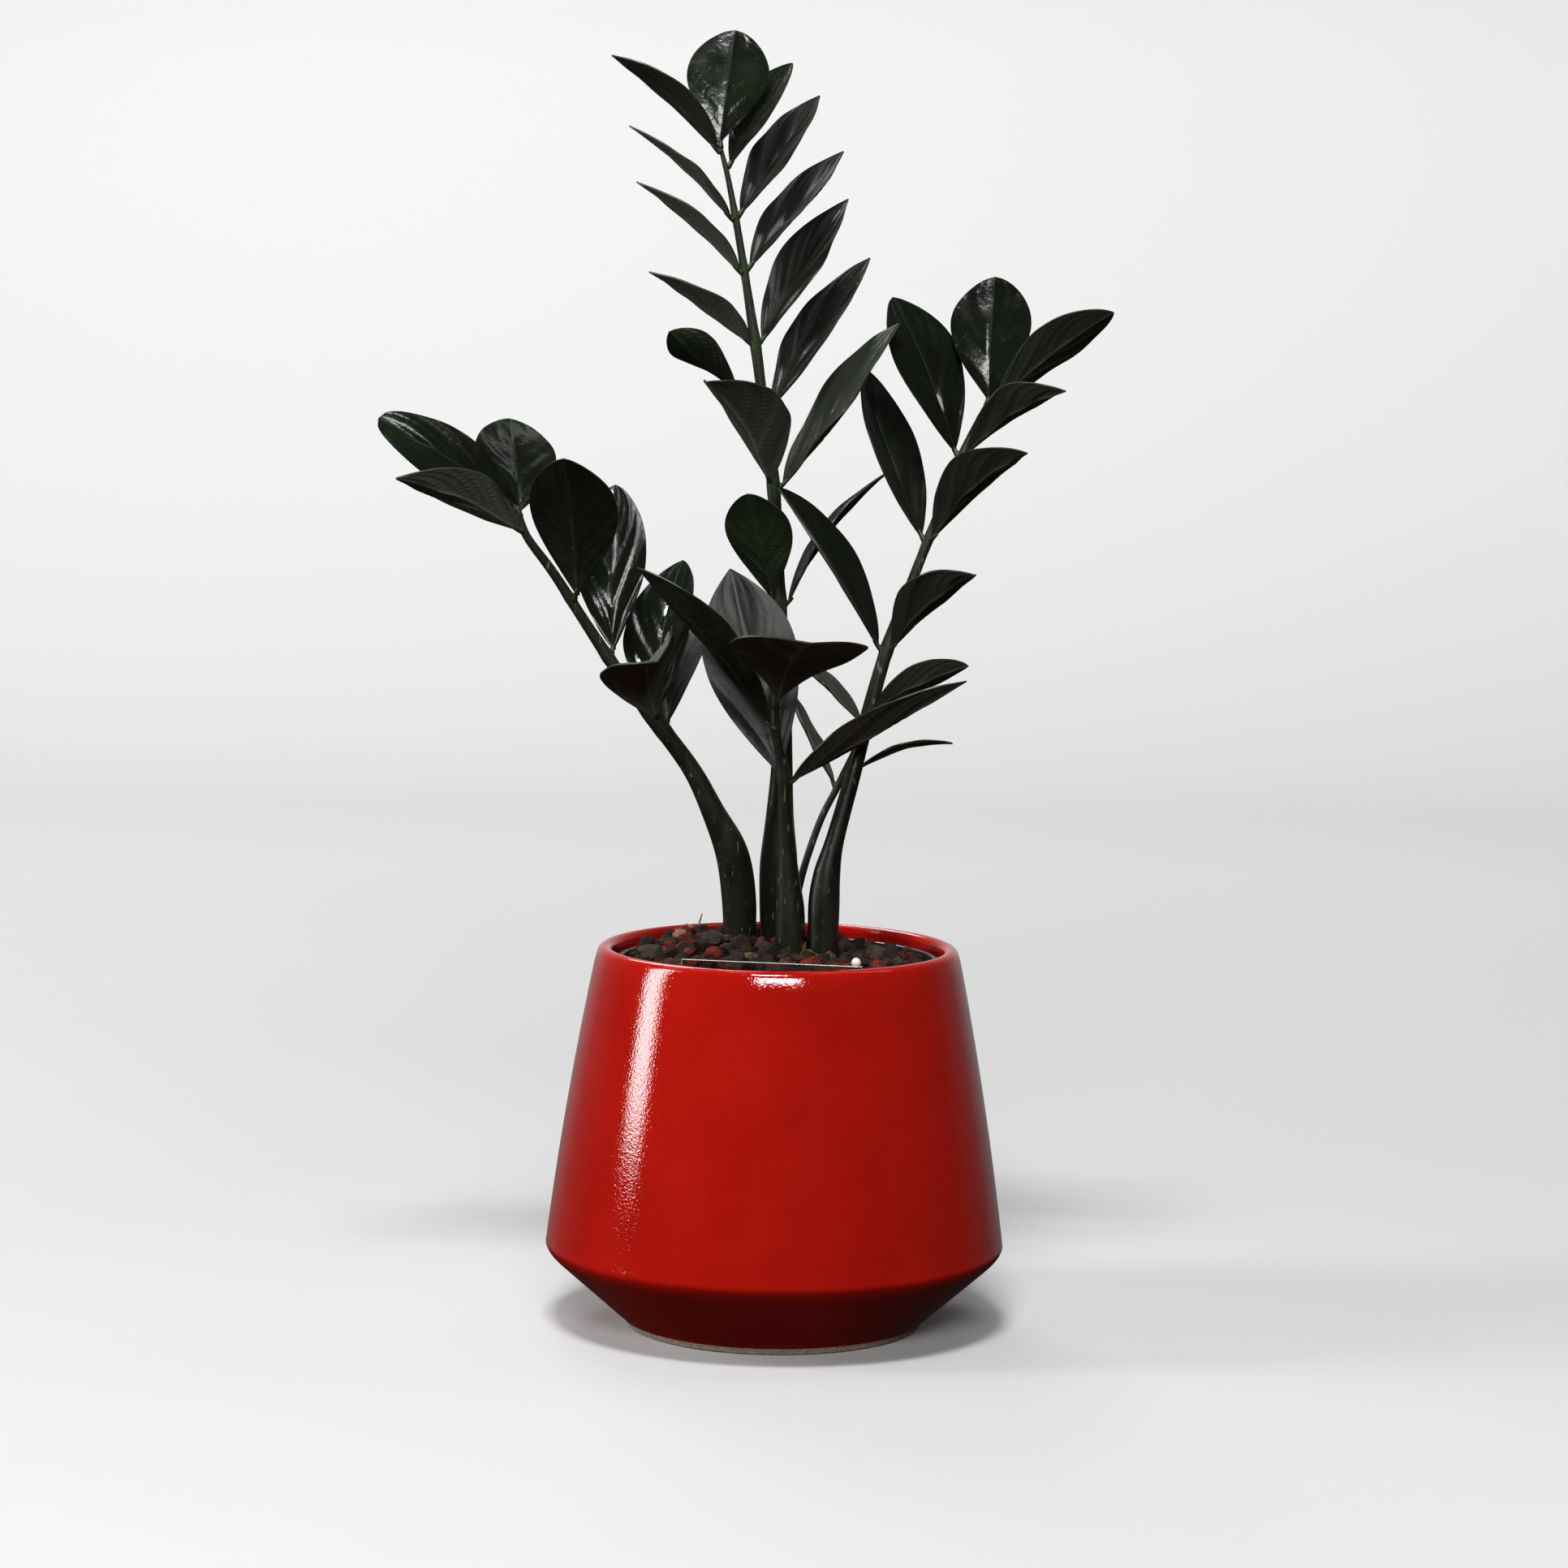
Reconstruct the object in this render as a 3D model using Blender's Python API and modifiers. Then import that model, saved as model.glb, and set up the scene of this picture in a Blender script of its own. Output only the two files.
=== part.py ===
"""Potted ZZ plant: glazed pot, clear grow pot, soil, lava gravel, plastic label and a plant of five stems.

Units are metres, +Z is up, the origin is the middle of the pot's flat underside.
The plant tables are in millimetres and degrees; the numbers there are rounded by hand.
"""
import math
import bpy
import bmesh
from mathutils import Vector, noise

# Driving sizes
pot_width = 0.200          # widest, at the shoulder
pot_height = 0.1664        # resting plane to the top of the lip
pot_wall = 0.0072          # the lip is the rounded top of this wall
pot_floor = 0.0080         # inner floor above the resting plane
pot_foot_width = 0.1292    # the flat underside, with its small rounding
pot_lip_width = 0.1506     # across the middle of the lip's round top
shoulder_height = 0.0339
shoulder_round = 0.0052    # how far in from the shoulder the cone begins to turn
foot_round = 0.0012
wall_belly = 0.00135       # how far the upper wall bulges past straight
liner_gap = 0.0013         # grow pot rim to the lip's inner side
liner_foot_gap = 0.0071    # grow pot foot to the corner of the pot's floor
liner_wall = 0.0011
liner_rim = 0.0018         # how far the rim stands out from the grow pot's wall
liner_drop = 0.0054        # grow pot rim below the pot's top
drain_hole = 0.0090
drain_circle = 0.0620      # across the drain holes' middles
drain_count = 5
gravel_drop = 0.0030       # the plant tables' zero height below the grow pot rim
gravel_depth = 0.0055
stone_size = 0.0085
stone_bump = 0.0022
gravel_rise = 0.0026       # mean level at the sides above that zero
heap_high = 0.0040         # how much higher the stones lie left of and behind the stems
heap_place = (-0.0300, 0.0340)
heap_reach = 0.0500
label_length = 0.0780
label_thick = 0.0012
label_end_gap = 0.0007     # label's right end in from the gravel's edge
label_bearing = -3.5       # degrees from the front, seen from above
label_turn = -11.5         # degrees
label_show = 0.0080        # label's top above the gravel's middle level
plant_side = 0.0020        # plant's middle to the right of the pot's
plant_inset = 0.0334       # plant's middle in from the gravel's back edge
plant_scale = 1.0          # all that stands above the gravel
stem_girth = 1.0           # all stem radii; thicker stems stand further apart
leaf_thick = 0.0012
tuber_scale = 1.0
tuber_side_gap = 0.0041    # tuber to the grow pot's wall at the back
gap = 0.0003               # between pieces that rest against each other
socket_clear = 0.0006      # soil round a stem
tuber_clear = 0.0008       # soil round the tuber
gravel_clear = 0.0015      # gravel round a stem
label_clear = 0.0005       # gravel along the label

# Sizes that follow
widest = pot_width / 2
lip_radius = pot_wall / 2
lip_middle = pot_lip_width / 2
foot = pot_foot_width / 2
floor_edge = foot - pot_wall - gap
lip_height = pot_height - lip_radius
rim_outer = lip_middle - lip_radius - liner_gap
rim_height = pot_height - liner_drop
liner_foot = floor_edge - liner_foot_gap
liner_floor = pot_floor + gap
gravel_level = rim_height - gravel_drop
gravel_base = gravel_level - gravel_depth
soil_top = gravel_base - gap
wallOut = rim_outer - liner_rim
gravelRadius = wallOut - liner_wall - gap - 0.0008
linerBend = liner_floor + 0.003
linerRise = rim_height - 0.006 - linerBend
mm = 0.001


def linerInner(z):
    """The grow pot's inner radius at a height."""
    return liner_foot + (wallOut - liner_foot) * (z - linerBend) / linerRise - liner_wall


def makeMaterial(name, colour, rough, metal=0.0, clear=0.0, alpha=1.0):
    mat = bpy.data.materials.new(name)
    mat.use_nodes = True
    node = mat.node_tree.nodes["Principled BSDF"]
    node.inputs["Base Color"].default_value = (*colour, 1.0)
    node.inputs["Roughness"].default_value = rough
    node.inputs["Metallic"].default_value = metal
    node.inputs["Transmission Weight"].default_value = clear
    node.inputs["Alpha"].default_value = alpha
    mat.diffuse_color = (*colour, alpha)
    return mat


def addObject(name, mesh, mat):
    obj = bpy.data.objects.new(name, mesh)
    bpy.context.scene.collection.objects.link(obj)
    if mat:
        mesh.materials.append(mat)
    return obj


def revolve(name, profile, mat, steps):
    """Turn a radius/height outline, whose ends lie on the axis, with a Screw modifier."""
    mesh = bpy.data.meshes.new(name)
    mesh.from_pydata([(r, 0.0, z) for r, z in profile], [(i, i + 1) for i in range(len(profile) - 1)], [])
    obj = addObject(name, mesh, mat)
    screw = obj.modifiers.new("turn", "SCREW")
    screw.axis = "Z"
    screw.steps = screw.render_steps = steps
    screw.use_merge_vertices = True
    screw.merge_threshold = 0.00001
    screw.use_normal_calculate = True
    return obj


def bake(obj):
    """Fix the modifiers into the mesh, with the faces turned outward."""
    graph = bpy.context.evaluated_depsgraph_get()
    mesh = bpy.data.meshes.new_from_object(obj.evaluated_get(graph))
    work = bmesh.new()
    work.from_mesh(mesh)
    bmesh.ops.remove_doubles(work, verts=work.verts, dist=0.000001)
    bmesh.ops.recalc_face_normals(work, faces=work.faces)
    work.to_mesh(mesh)
    work.free()
    obj.modifiers.clear()
    obj.data = mesh
    return obj


def cut(body, tool, kind="DIFFERENCE"):
    mod = body.modifiers.new(kind.lower(), "BOOLEAN")
    mod.operation = kind
    mod.solver = "EXACT"
    mod.object = tool
    bake(body)
    bpy.data.objects.remove(tool)
    return body


def drum(radius, low, high, x=0.0, y=0.0, sides=12):
    bpy.ops.mesh.primitive_cylinder_add(vertices=sides, radius=radius, depth=high - low,
                                        location=(x, y, (low + high) / 2))
    return bpy.context.object


def smooth(points, steps):
    """Catmull-Rom curve through (x, y, z, radius) points."""
    out = []
    pts = [Vector(p) for p in points]
    pts = [2 * pts[0] - pts[1]] + pts + [2 * pts[-1] - pts[-2]]
    for i in range(1, len(pts) - 2):
        a, b, c, d = pts[i - 1:i + 3]
        for k in range(steps):
            t = k / steps
            out.append(0.5 * (2 * b + (c - a) * t + (2 * a - 5 * b + 4 * c - d) * t * t
                              + (3 * b - a - 3 * c + d) * t ** 3))
    out.append(pts[-2])
    return out


for old in list(bpy.data.objects):
    bpy.data.objects.remove(old)

glaze = makeMaterial("glazed_red", (0.38, 0.006, 0.004), 0.12)
clearPlastic = makeMaterial("clear_plastic", (0.55, 0.55, 0.52), 0.15, clear=0.8)
soilMat = makeMaterial("potting_mix", (0.030, 0.020, 0.014), 0.95)
lava = makeMaterial("lava_stone", (0.055, 0.038, 0.034), 0.9)
tuberMat = makeMaterial("tuber_skin", (0.24, 0.17, 0.09), 0.8)
stemMat = makeMaterial("stem_skin", (0.028, 0.030, 0.022), 0.4)
leafMat = makeMaterial("leaf_skin", (0.008, 0.014, 0.007), 0.22)
labelMat = makeMaterial("label_plastic", (0.75, 0.75, 0.72), 0.1, clear=0.9)

# Pot: foot, low cone, shoulder, gently bulged wall, rounded lip, inner wall and floor
outer = [(0.0, 0.0), (foot - foot_round, 0.0), (foot, foot_round)]
outer += [(widest - shoulder_round, shoulder_height - shoulder_round * 0.81),
          (widest - shoulder_round * 0.23, shoulder_height - shoulder_round * 0.42),
          (widest, shoulder_height)]
wallTop = Vector((lip_middle + lip_radius, lip_height))
wallFoot = Vector((widest, shoulder_height))
for t in (0.2, 0.4, 0.6, 0.8):
    spot = wallFoot.lerp(wallTop, t)
    outer.append((spot.x + wall_belly * 4 * t * (1 - t), spot.y))
for k in range(7):
    ang = math.pi * k / 6
    outer.append((lip_middle + lip_radius * math.cos(ang), lip_height + lip_radius * math.sin(ang)))
inner = []
for t in (0.66, 0.33):
    spot = wallFoot.lerp(wallTop, t)
    inner.append((spot.x + wall_belly * 4 * t * (1 - t) - pot_wall, spot.y))
inner += [(widest - pot_wall, shoulder_height + 0.003), (widest - pot_wall - 0.004, shoulder_height - 0.0005),
          (floor_edge + 0.0035, pot_floor + 0.003), (floor_edge, pot_floor), (0.0, pot_floor)]
pot = bake(revolve("pot", outer + inner, glaze, 56))

# Grow pot: thin clear cup with a rolled rim and drain holes, standing on the pot's floor
cup = [(0.0, liner_floor), (liner_foot - 0.003, liner_floor), (liner_foot, liner_floor + 0.003),
       (wallOut, rim_height - 0.0060), (rim_outer, rim_height - 0.0050), (rim_outer, rim_height - 0.0005),
       (rim_outer - 0.0005, rim_height), (wallOut - liner_wall + 0.0004, rim_height),
       (wallOut - liner_wall, rim_height - 0.0010), (wallOut - liner_wall, rim_height - 0.0060),
       (liner_foot - liner_wall, liner_floor + 0.0034),
       (liner_foot - 0.003 - liner_wall * 0.5, liner_floor + liner_wall), (0.0, liner_floor + liner_wall)]
liner = bake(revolve("grow_pot", cup, clearPlastic, 40))
for k in range(drain_count):
    ang = 2 * math.pi * k / drain_count + 0.3
    hole = drum(drain_hole / 2, liner_floor - 0.01, liner_floor + 0.01, drain_circle / 2 * math.cos(ang),
                drain_circle / 2 * math.sin(ang), 10)
    cut(liner, hole)

# Stems: x, y, height above the gravel and radius. The foot of each goes straight down to the tuber.
stems = {
    "tall": [(0, 42, -38, 6.5), (0, 42, 0, 7.6), (0, 41.5, 24, 8.4), (0, 41, 40, 8.3), (0.2, 41, 60, 6.2),
             (0.8, 41, 82, 4.8), (0.6, 41, 107, 4.2), (-0.4, 40, 135, 3.8), (-2.3, 39, 162, 3.5),
             (-4.5, 38, 206, 2.8), (-10, 37, 245, 2.3), (-13, 37, 266, 2.4), (-17.6, 37, 294, 1.8),
             (-21.6, 37, 317, 1.6), (-26.2, 37, 340, 1.2), (-29.7, 37, 353, 0.9)],
    "left": [(-17, 41, -38, 6.0), (-17, 41, 0, 7.0), (-17.4, 38, 23, 7.7), (-20.7, 34, 44, 7.4),
             (-29.2, 30, 63, 5.2), (-38.4, 28, 81, 4.1), (-51.4, 25, 99, 3.6), (-70.6, 21, 124, 2.9),
             (-85.3, 17, 146, 2.4), (-99.4, 13, 168, 2.1), (-111, 10, 184, 1.8), (-115, 8, 196, 1.3)],
    "front": [(5.2, 16, -38, 5.5), (5.2, 16, 0, 6.2), (5.2, 15.5, 20, 6.4), (4.2, 15, 34, 5.2),
              (3.2, 14, 51, 3.7), (2.2, 12, 69, 2.8), (1.2, 11, 83, 2.6), (-1, 9, 97, 1.4),
              (-2.2, 7, 112, 1.0)],
    "right": [(19.8, 14, -38, 5.5), (19.8, 14, 0, 6.3), (19.8, 14.5, 23, 6.9), (21, 15, 38, 5.9),
              (24.3, 16, 53, 4.1), (31.5, 20, 80, 3.5), (38, 23, 107, 3.3), (45.9, 25, 136, 2.9),
              (53, 27, 156, 2.4), (63, 29, 183, 2.1), (78, 32, 222, 1.7), (88.4, 34, 243, 1.3)],
    "back": [(6.5, 52, -38, 1.9), (6.5, 52, 0, 1.9), (9.2, 52, 27, 1.7), (17.6, 53, 55, 1.6),
             (25.7, 54, 72, 1.5), (33.8, 54, 90, 1.3), (40.3, 54, 106, 1.1)],
}
stemCurves = {}
tableMiddle = Vector((2, 33))              # the plant's middle in the tables
plantMiddle = Vector((plant_side, gravelRadius - plant_inset))


def place(x, y, height, foot_spot=None):
    """A table spot in metres. What stands above the gravel grows with plant_scale and what is below keeps its
    depth. A stem's lower part moves out from the plant's middle as far as a thicker stem needs."""
    spot = Vector((x, y)) - tableMiddle
    if foot_spot:
        spot += (Vector(foot_spot) - tableMiddle) * (stem_girth - 1) * min(1.0, max(0.0, (70 - height) / 30))
    spot = plantMiddle + spot * mm * plant_scale
    return Vector((*spot, gravel_level + height * mm * (plant_scale if height > 0 else 1)))


for stemName, rows in stems.items():
    girth = mm * plant_scale * stem_girth
    path = smooth([(*place(x, y, h, rows[0][:2]), r * girth) for x, y, h, r in rows], 2)
    stemCurves[stemName] = path
    curve = bpy.data.curves.new(stemName, "CURVE")
    curve.dimensions = "3D"
    curve.bevel_depth = 1.0
    curve.bevel_resolution = 2
    curve.use_fill_caps = True
    line = curve.splines.new("POLY")
    line.points.add(len(path) - 1)
    for point, spot in zip(line.points, path):
        point.co = (spot[0], spot[1], spot[2], 1.0)
        point.radius = spot[3]
    tube = bpy.data.objects.new(stemName + "_stem", curve)
    bpy.context.scene.collection.objects.link(tube)
    graph = bpy.context.evaluated_depsgraph_get()
    mesh = bpy.data.meshes.new_from_object(tube.evaluated_get(graph))
    bpy.data.objects.remove(tube)
    mesh.materials.clear()
    bake(addObject(stemName + "_stem", mesh, stemMat))


def onStem(stemName, height):
    """Stem middle, direction and radius at a height in millimetres above the gravel."""
    path = stemCurves[stemName]
    level = place(0, 0, height).z
    for a, b in zip(path, path[1:]):
        if b.z >= level or b is path[-1]:
            t = min(1.0, max(0.0, (level - a.z) / (b.z - a.z)))
            spot = a.lerp(b, t)
            return Vector(spot[:3]), (Vector(b[:3]) - Vector(a[:3])).normalized(), spot[3]


# Leaflets. Foot height above the gravel, length, width, heading (0 is +X, 90 is +Y), rise, roll about the
# leaflet's own line, bow (share of length), fold of each half, twist from foot to tip, where it is widest.
leaflets = {
    "tall": [
        ("end", 51, 36, 64, 74, 17, 0.04, 8, 0, 0.60),
        (352, 62, 26, -158, 39, 8, 0.06, 10, 0, 0.50),
        (345, 52, 27, 16, 57, 22, 0.04, 14, 0, 0.54),
        (324, 63, 28, 19, 54, 18, 0.02, 14, 0, 0.52),
        (323, 60, 22, -157, 39, -4, 0.05, 5, 0, 0.48),
        (301, 66, 28, 16, 49, 18, 0.02, 16, 0, 0.52),
        (300, 60, 26, -157, 38, 0, 0.05, 7, 0, 0.48),
        (269, 74, 32, 21, 56, 15, 0.02, 16, 0, 0.52),
        (269, 56, 28, -153, 32, 3, 0.04, 9, 0, 0.48),
        (240, 80, 32, 19, 54, 15, 0.02, 18, 0, 0.52),
        (240, 53, 25, -156, 39, 10, 0.0, 14, 90, 0.66),
        (206, 87, 32, -9, 55, 31, 0.0, 18, 0, 0.50),
        (209, 70, 40, -120, 38, -2, 0.08, 24, 0, 0.50),
        (157, 50, 31, -128, 68, 18, 0.03, 8, 0, 0.62),
        (154, 74, 20, 15, 52, -6, 0.07, 12, 0, 0.50),
    ],
    "left": [
        ("end", 70, 27, -169, 32, -66, 0.05, 8, 0, 0.52),
        (188, 67, 29, -142, 20, 25, 0.06, 18, 0, 0.50),
        (194, 55, 36, 100, 45, 8, 0.05, 10, 0, 0.56),
        (157, 68, 40, -99, 62, -5, 0.06, 10, 0, 0.58),
        (132, 75, 34, 91, 71, -17, 0.05, 12, 0, 0.56),
        (106, 72, 36, 73, 61, -18, 0.08, 14, 0, 0.50),
        (105, 60, 40, -88, 28, 30, 0.17, 22, 0, 0.52),
        (100, 61, 32, 65, 44, -20, 0.08, 14, 0, 0.50),
    ],
    "front": [
        ("end", 74, 58, -78, 25, -4, 0.09, 5, 0, 0.68),
        (103, 92, 32, -165, 49, 18, 0.04, 16, 0, 0.54),
        (82, 93, 42, 135, 70, -44, 0.02, 5, 0, 0.58),
        (79, 89, 30, -14, 31, -19, 0.0, 20, 0, 0.50),
    ],
    "right": [
        ("end", 56, 36, 80, 74, -6, 0.05, 8, 0, 0.60),
        (241, 69, 30, -13, 39, -34, 0.05, 14, 0, 0.60),
        (221, 74, 35, 149, 64, -26, 0.05, 12, 0, 0.57),
        (222, 60, 28, -41, 28, -15, 0.08, 24, 0, 0.57),
        (185, 66, 32, -45, 36, -15, 0.09, 26, 0, 0.57),
        (184, 80, 32, 140, 65, -1, -0.02, 16, 0, 0.54),
        (137, 60, 30, -47, 35, -13, 0.09, 24, 0, 0.57),
        (136, 82, 32, -172, 57, -30, 0.03, 20, 0, 0.50),
    ],
    "back": [
        ("end", 48, 24, 16, 23, -42, 0.04, 14, 0, 0.50),
        (100, 45, 18, 164, 42, -5, 0.02, 14, 0, 0.50),
        (78, 49, 14, 10, 17, -15, 0.09, 12, 0, 0.50),
        (73, 45, 20, 156, 61, 10, -0.03, 14, 0, 0.50),
    ],
}
leafStations = (0.0, 0.10, 0.26, 0.46, 0.66, 0.84, 0.95, 1.0)
leafAcross = (-1.0, -0.5, 0.0, 0.5, 1.0)


def halfWidth(t, width, peak):
    """Half the blade's width at a share t of its length, widest at peak."""
    power = math.log(0.5) / math.log(peak)
    body = math.sin(math.pi * t ** power) ** 0.72 if 0 < t < 1 else 0.0
    return max(width / 2 * body, 1.5 * mm * (1 - t) + 0.4 * mm)


def addLeaflet(name, stemName, row):
    """One blade: a strip of stations along a bowed midrib, folded up at the midrib, then thickened."""
    foot, length, width, heading, rise, roll, bow, fold, twist, peak = row
    length, width = length * mm * plant_scale, width * mm * plant_scale
    head, lift, turn = math.radians(heading), math.radians(rise), math.radians(roll)
    along = Vector((math.cos(head) * math.cos(lift), math.sin(head) * math.cos(lift), math.sin(lift)))
    side = Vector((-math.sin(head), math.cos(head), 0.0))
    face = along.cross(side)
    level = 999 if foot == "end" else foot
    spot, run, radius = onStem(stemName, level)
    atFoot = turn - math.radians(twist) / 2
    across = side * math.cos(atFoot) + face * math.sin(atFoot)
    if foot == "end":
        start = spot + run * gap * 3 + along * gap * 2
    else:
        away = (along - run * along.dot(run)).normalized()
        start = spot + away * (radius + leaf_thick / 2 + gap + 0.0019 * plant_scale * abs(across.dot(away)))
    work = bmesh.new()
    grid = []
    for t in leafStations:
        spin = turn + math.radians(twist) * (t - 0.5)
        s = side * math.cos(spin) + face * math.sin(spin)
        n = face * math.cos(spin) - side * math.sin(spin)
        mid = start + along * (length * t) + n * (bow * length * 4 * t * (1 - t))
        half = halfWidth(t, width, peak)
        up = math.radians(fold)
        grid.append([work.verts.new(mid + s * (half * a * math.cos(up)) + n * (half * abs(a) * math.sin(up)))
                     for a in leafAcross])
    for a, b in zip(grid, grid[1:]):
        for k in range(len(leafAcross) - 1):
            work.faces.new((a[k], b[k], b[k + 1], a[k + 1]))
    mesh = bpy.data.meshes.new(name)
    work.to_mesh(mesh)
    work.free()
    obj = addObject(name, mesh, leafMat)
    skin = obj.modifiers.new("thickness", "SOLIDIFY")
    skin.thickness = leaf_thick
    skin.offset = 0.0
    bake(obj)


for stemName, rows in leaflets.items():
    for count, row in enumerate(rows, 1):
        addLeaflet(f"{stemName}_leaflet_{count:02d}", stemName, row)

# Tuber under the stems: overlapping lumps, and the same lumps grown a little to clear the soil
lumps = [(0, 32, -60, 24), (-16, 34, -58, 19), (10, 18, -59, 20), (15, 36, -62, 17)]
tuber_top = -41            # it grows down from here, under the stems


def tuber(grow):
    room = linerInner(gravel_level + lumps[0][2] * mm)
    back = (lumps[0][1] + lumps[0][3] - tableMiddle.y) * mm * tuber_scale
    middle = Vector((plant_side, room - tuber_side_gap - back))
    body = None
    for x, y, height, radius in lumps:
        spot = Vector((*(middle + (Vector((x, y)) - tableMiddle) * mm * tuber_scale),
                       gravel_level + (tuber_top + (height - tuber_top) * tuber_scale) * mm))
        bpy.ops.mesh.primitive_uv_sphere_add(segments=14, ring_count=8, location=spot)
        lump = bpy.context.object
        r = radius * mm * tuber_scale + grow
        lump.scale = (r, r, r * 0.78)
        bpy.ops.object.transform_apply(location=True, rotation=False, scale=True)
        body = lump if body is None else cut(body, lump, "UNION")
    return body


rhizome = tuber(0.0)
rhizome.name = rhizome.data.name = "tuber"
rhizome.data.materials.clear()
rhizome.data.materials.append(tuberMat)

# Soil: fills the grow pot, with sockets for the stems and the tuber
clearance = liner_wall + gap
soilOutline = [(0.0, liner_floor + clearance + 0.0003),
               (liner_foot - 0.0035 - clearance, liner_floor + clearance + 0.0003),
               (liner_foot - clearance - 0.0003, liner_floor + 0.0042)]
soilOutline += [(linerInner(soil_top) - gap - 0.0003, soil_top), (0.0, soil_top)]
soil = bake(revolve("soil", soilOutline, soilMat, 40))
for stemName, rows in stems.items():
    x, y, low, r = rows[0]
    spot = place(x, y, low, (x, y))
    wide = rows[1][3] * stem_girth * plant_scale * mm + socket_clear
    cut(soil, drum(wide, spot.z - 0.008, soil_top + 0.01, spot.x, spot.y, 14))
cut(soil, tuber(tuber_clear))

# Gravel: one bumpy layer, open round each stem and along the label
rings, spokes = 9, 40
heapSpot = Vector((*heap_place, 0.0))
work = bmesh.new()
low = []
high = []
for ring in range(1, rings + 1):
    radius = gravelRadius * ring / rings
    row = []
    for k in range(spokes):
        ang = 2 * math.pi * (k + 0.5 * (ring % 2)) / spokes
        spot = Vector((radius * math.cos(ang), radius * math.sin(ang), 0.0))
        lump = noise.noise(spot / stone_size * 1.3 + Vector((3.1, 7.7, 1.3)))
        away = (spot - heapSpot).length / heap_reach
        level = gravel_level + gravel_rise + heap_high * math.exp(-away * away) + stone_bump * lump
        row.append(work.verts.new(spot + Vector((0, 0, level))))
    high.append(row)
bottom = [work.verts.new((gravelRadius * math.cos(2 * math.pi * (k + 0.5 * (rings % 2)) / spokes),
                          gravelRadius * math.sin(2 * math.pi * (k + 0.5 * (rings % 2)) / spokes),
                          gravel_base)) for k in range(spokes)]
middle = work.verts.new((0, 0, gravel_level + gravel_rise + heap_high * 0.6))
for k in range(spokes):
    n = (k + 1) % spokes
    work.faces.new((middle, high[0][k], high[0][n]))
    work.faces.new((high[-1][k], bottom[k], bottom[n], high[-1][n]))
    for a, b in zip(high, high[1:]):
        work.faces.new((a[k], b[k], b[n], a[n]))
work.faces.new(list(reversed(bottom)))
bmesh.ops.triangulate(work, faces=[f for f in work.faces if len(f.verts) == 4])
mesh = bpy.data.meshes.new("gravel")
work.to_mesh(mesh)
work.free()
gravel = bake(addObject("gravel", mesh, lava))
for stemName, rows in stems.items():
    x, y, height, r = rows[1]
    spot = place(x, y, height, (x, y))
    wide = r * stem_girth * plant_scale * mm + gravel_clear
    cut(gravel, drum(wide, gravel_base - 0.01, gravel_level + 0.02, spot.x, spot.y, 14))

# Label: a blank clear strip pushed edge down into the gravel at the front
labelHigh = label_show + gravel_depth - 2 * gap
labelWay = Vector((math.sin(math.radians(label_bearing)), -math.cos(math.radians(label_bearing))))
labelEnd = Vector((math.cos(math.radians(label_turn)), math.sin(math.radians(label_turn)))) * label_length / 2
reach = labelWay.dot(labelEnd)
labelRoom = (gravelRadius - label_end_gap) ** 2 - labelEnd.length_squared
labelSpot = labelWay * (math.sqrt(reach ** 2 + labelRoom) - reach)


def strip(name, grow, high):
    bpy.ops.mesh.primitive_cube_add(size=1.0)
    obj = bpy.context.object
    obj.name = obj.data.name = name
    obj.scale = (label_length + 2 * grow, label_thick + 2 * grow, high)
    obj.rotation_euler = (0, 0, math.radians(label_turn))
    obj.location = (*labelSpot, gravel_base + high / 2 + gap - (0.001 if grow else 0.0))
    bpy.ops.object.transform_apply(location=True, rotation=True, scale=True)
    return obj


cut(gravel, strip("slot", label_clear, labelHigh + 0.01))
label = strip("label", 0.0, labelHigh)
label.data.materials.append(labelMat)
edge = label.modifiers.new("edge", "BEVEL")
edge.width = 0.0002
edge.segments = 1
bake(label)
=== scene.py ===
import math
import random
import bpy
from mathutils import Matrix, Vector, noise


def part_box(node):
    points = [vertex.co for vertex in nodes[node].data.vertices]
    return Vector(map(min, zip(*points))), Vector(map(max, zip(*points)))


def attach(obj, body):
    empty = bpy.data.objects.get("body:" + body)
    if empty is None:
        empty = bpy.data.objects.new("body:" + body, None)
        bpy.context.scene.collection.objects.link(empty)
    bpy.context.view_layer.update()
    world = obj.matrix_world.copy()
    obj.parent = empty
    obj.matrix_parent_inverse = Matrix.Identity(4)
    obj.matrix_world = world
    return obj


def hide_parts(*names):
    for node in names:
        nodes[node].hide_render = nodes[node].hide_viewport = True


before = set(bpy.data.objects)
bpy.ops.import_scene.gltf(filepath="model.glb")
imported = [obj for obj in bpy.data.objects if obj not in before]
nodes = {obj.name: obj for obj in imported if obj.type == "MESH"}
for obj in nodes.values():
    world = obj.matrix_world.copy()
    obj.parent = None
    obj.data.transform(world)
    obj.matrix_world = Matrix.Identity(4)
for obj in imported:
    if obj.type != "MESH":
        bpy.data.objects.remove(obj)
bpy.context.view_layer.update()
mm = 0.001


def linear(code):  # sRGB hex to the linear values that shaders use
    parts = [int(code[i:i + 2], 16) / 255 for i in (1, 3, 5)]
    return (*[c / 12.92 if c <= 0.04045 else ((c + 0.055) / 1.055) ** 2.4 for c in parts], 1.0)


def deselect():
    if bpy.context.object and bpy.context.object.mode != "OBJECT":
        bpy.ops.object.mode_set(mode="OBJECT")
    bpy.ops.object.select_all(action="DESELECT")


def pick(obj):
    deselect()
    obj.select_set(True)
    bpy.context.view_layer.objects.active = obj
    return obj


def applyAll(obj):  # every modifier, in order
    pick(obj)
    for mod in list(obj.modifiers):
        bpy.ops.object.modifier_apply(modifier=mod.name)
    return obj


def joinPieces(objs):
    pick(objs[0])
    for o in objs:
        o.select_set(True)
    bpy.ops.object.join()
    return bpy.context.object


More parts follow.
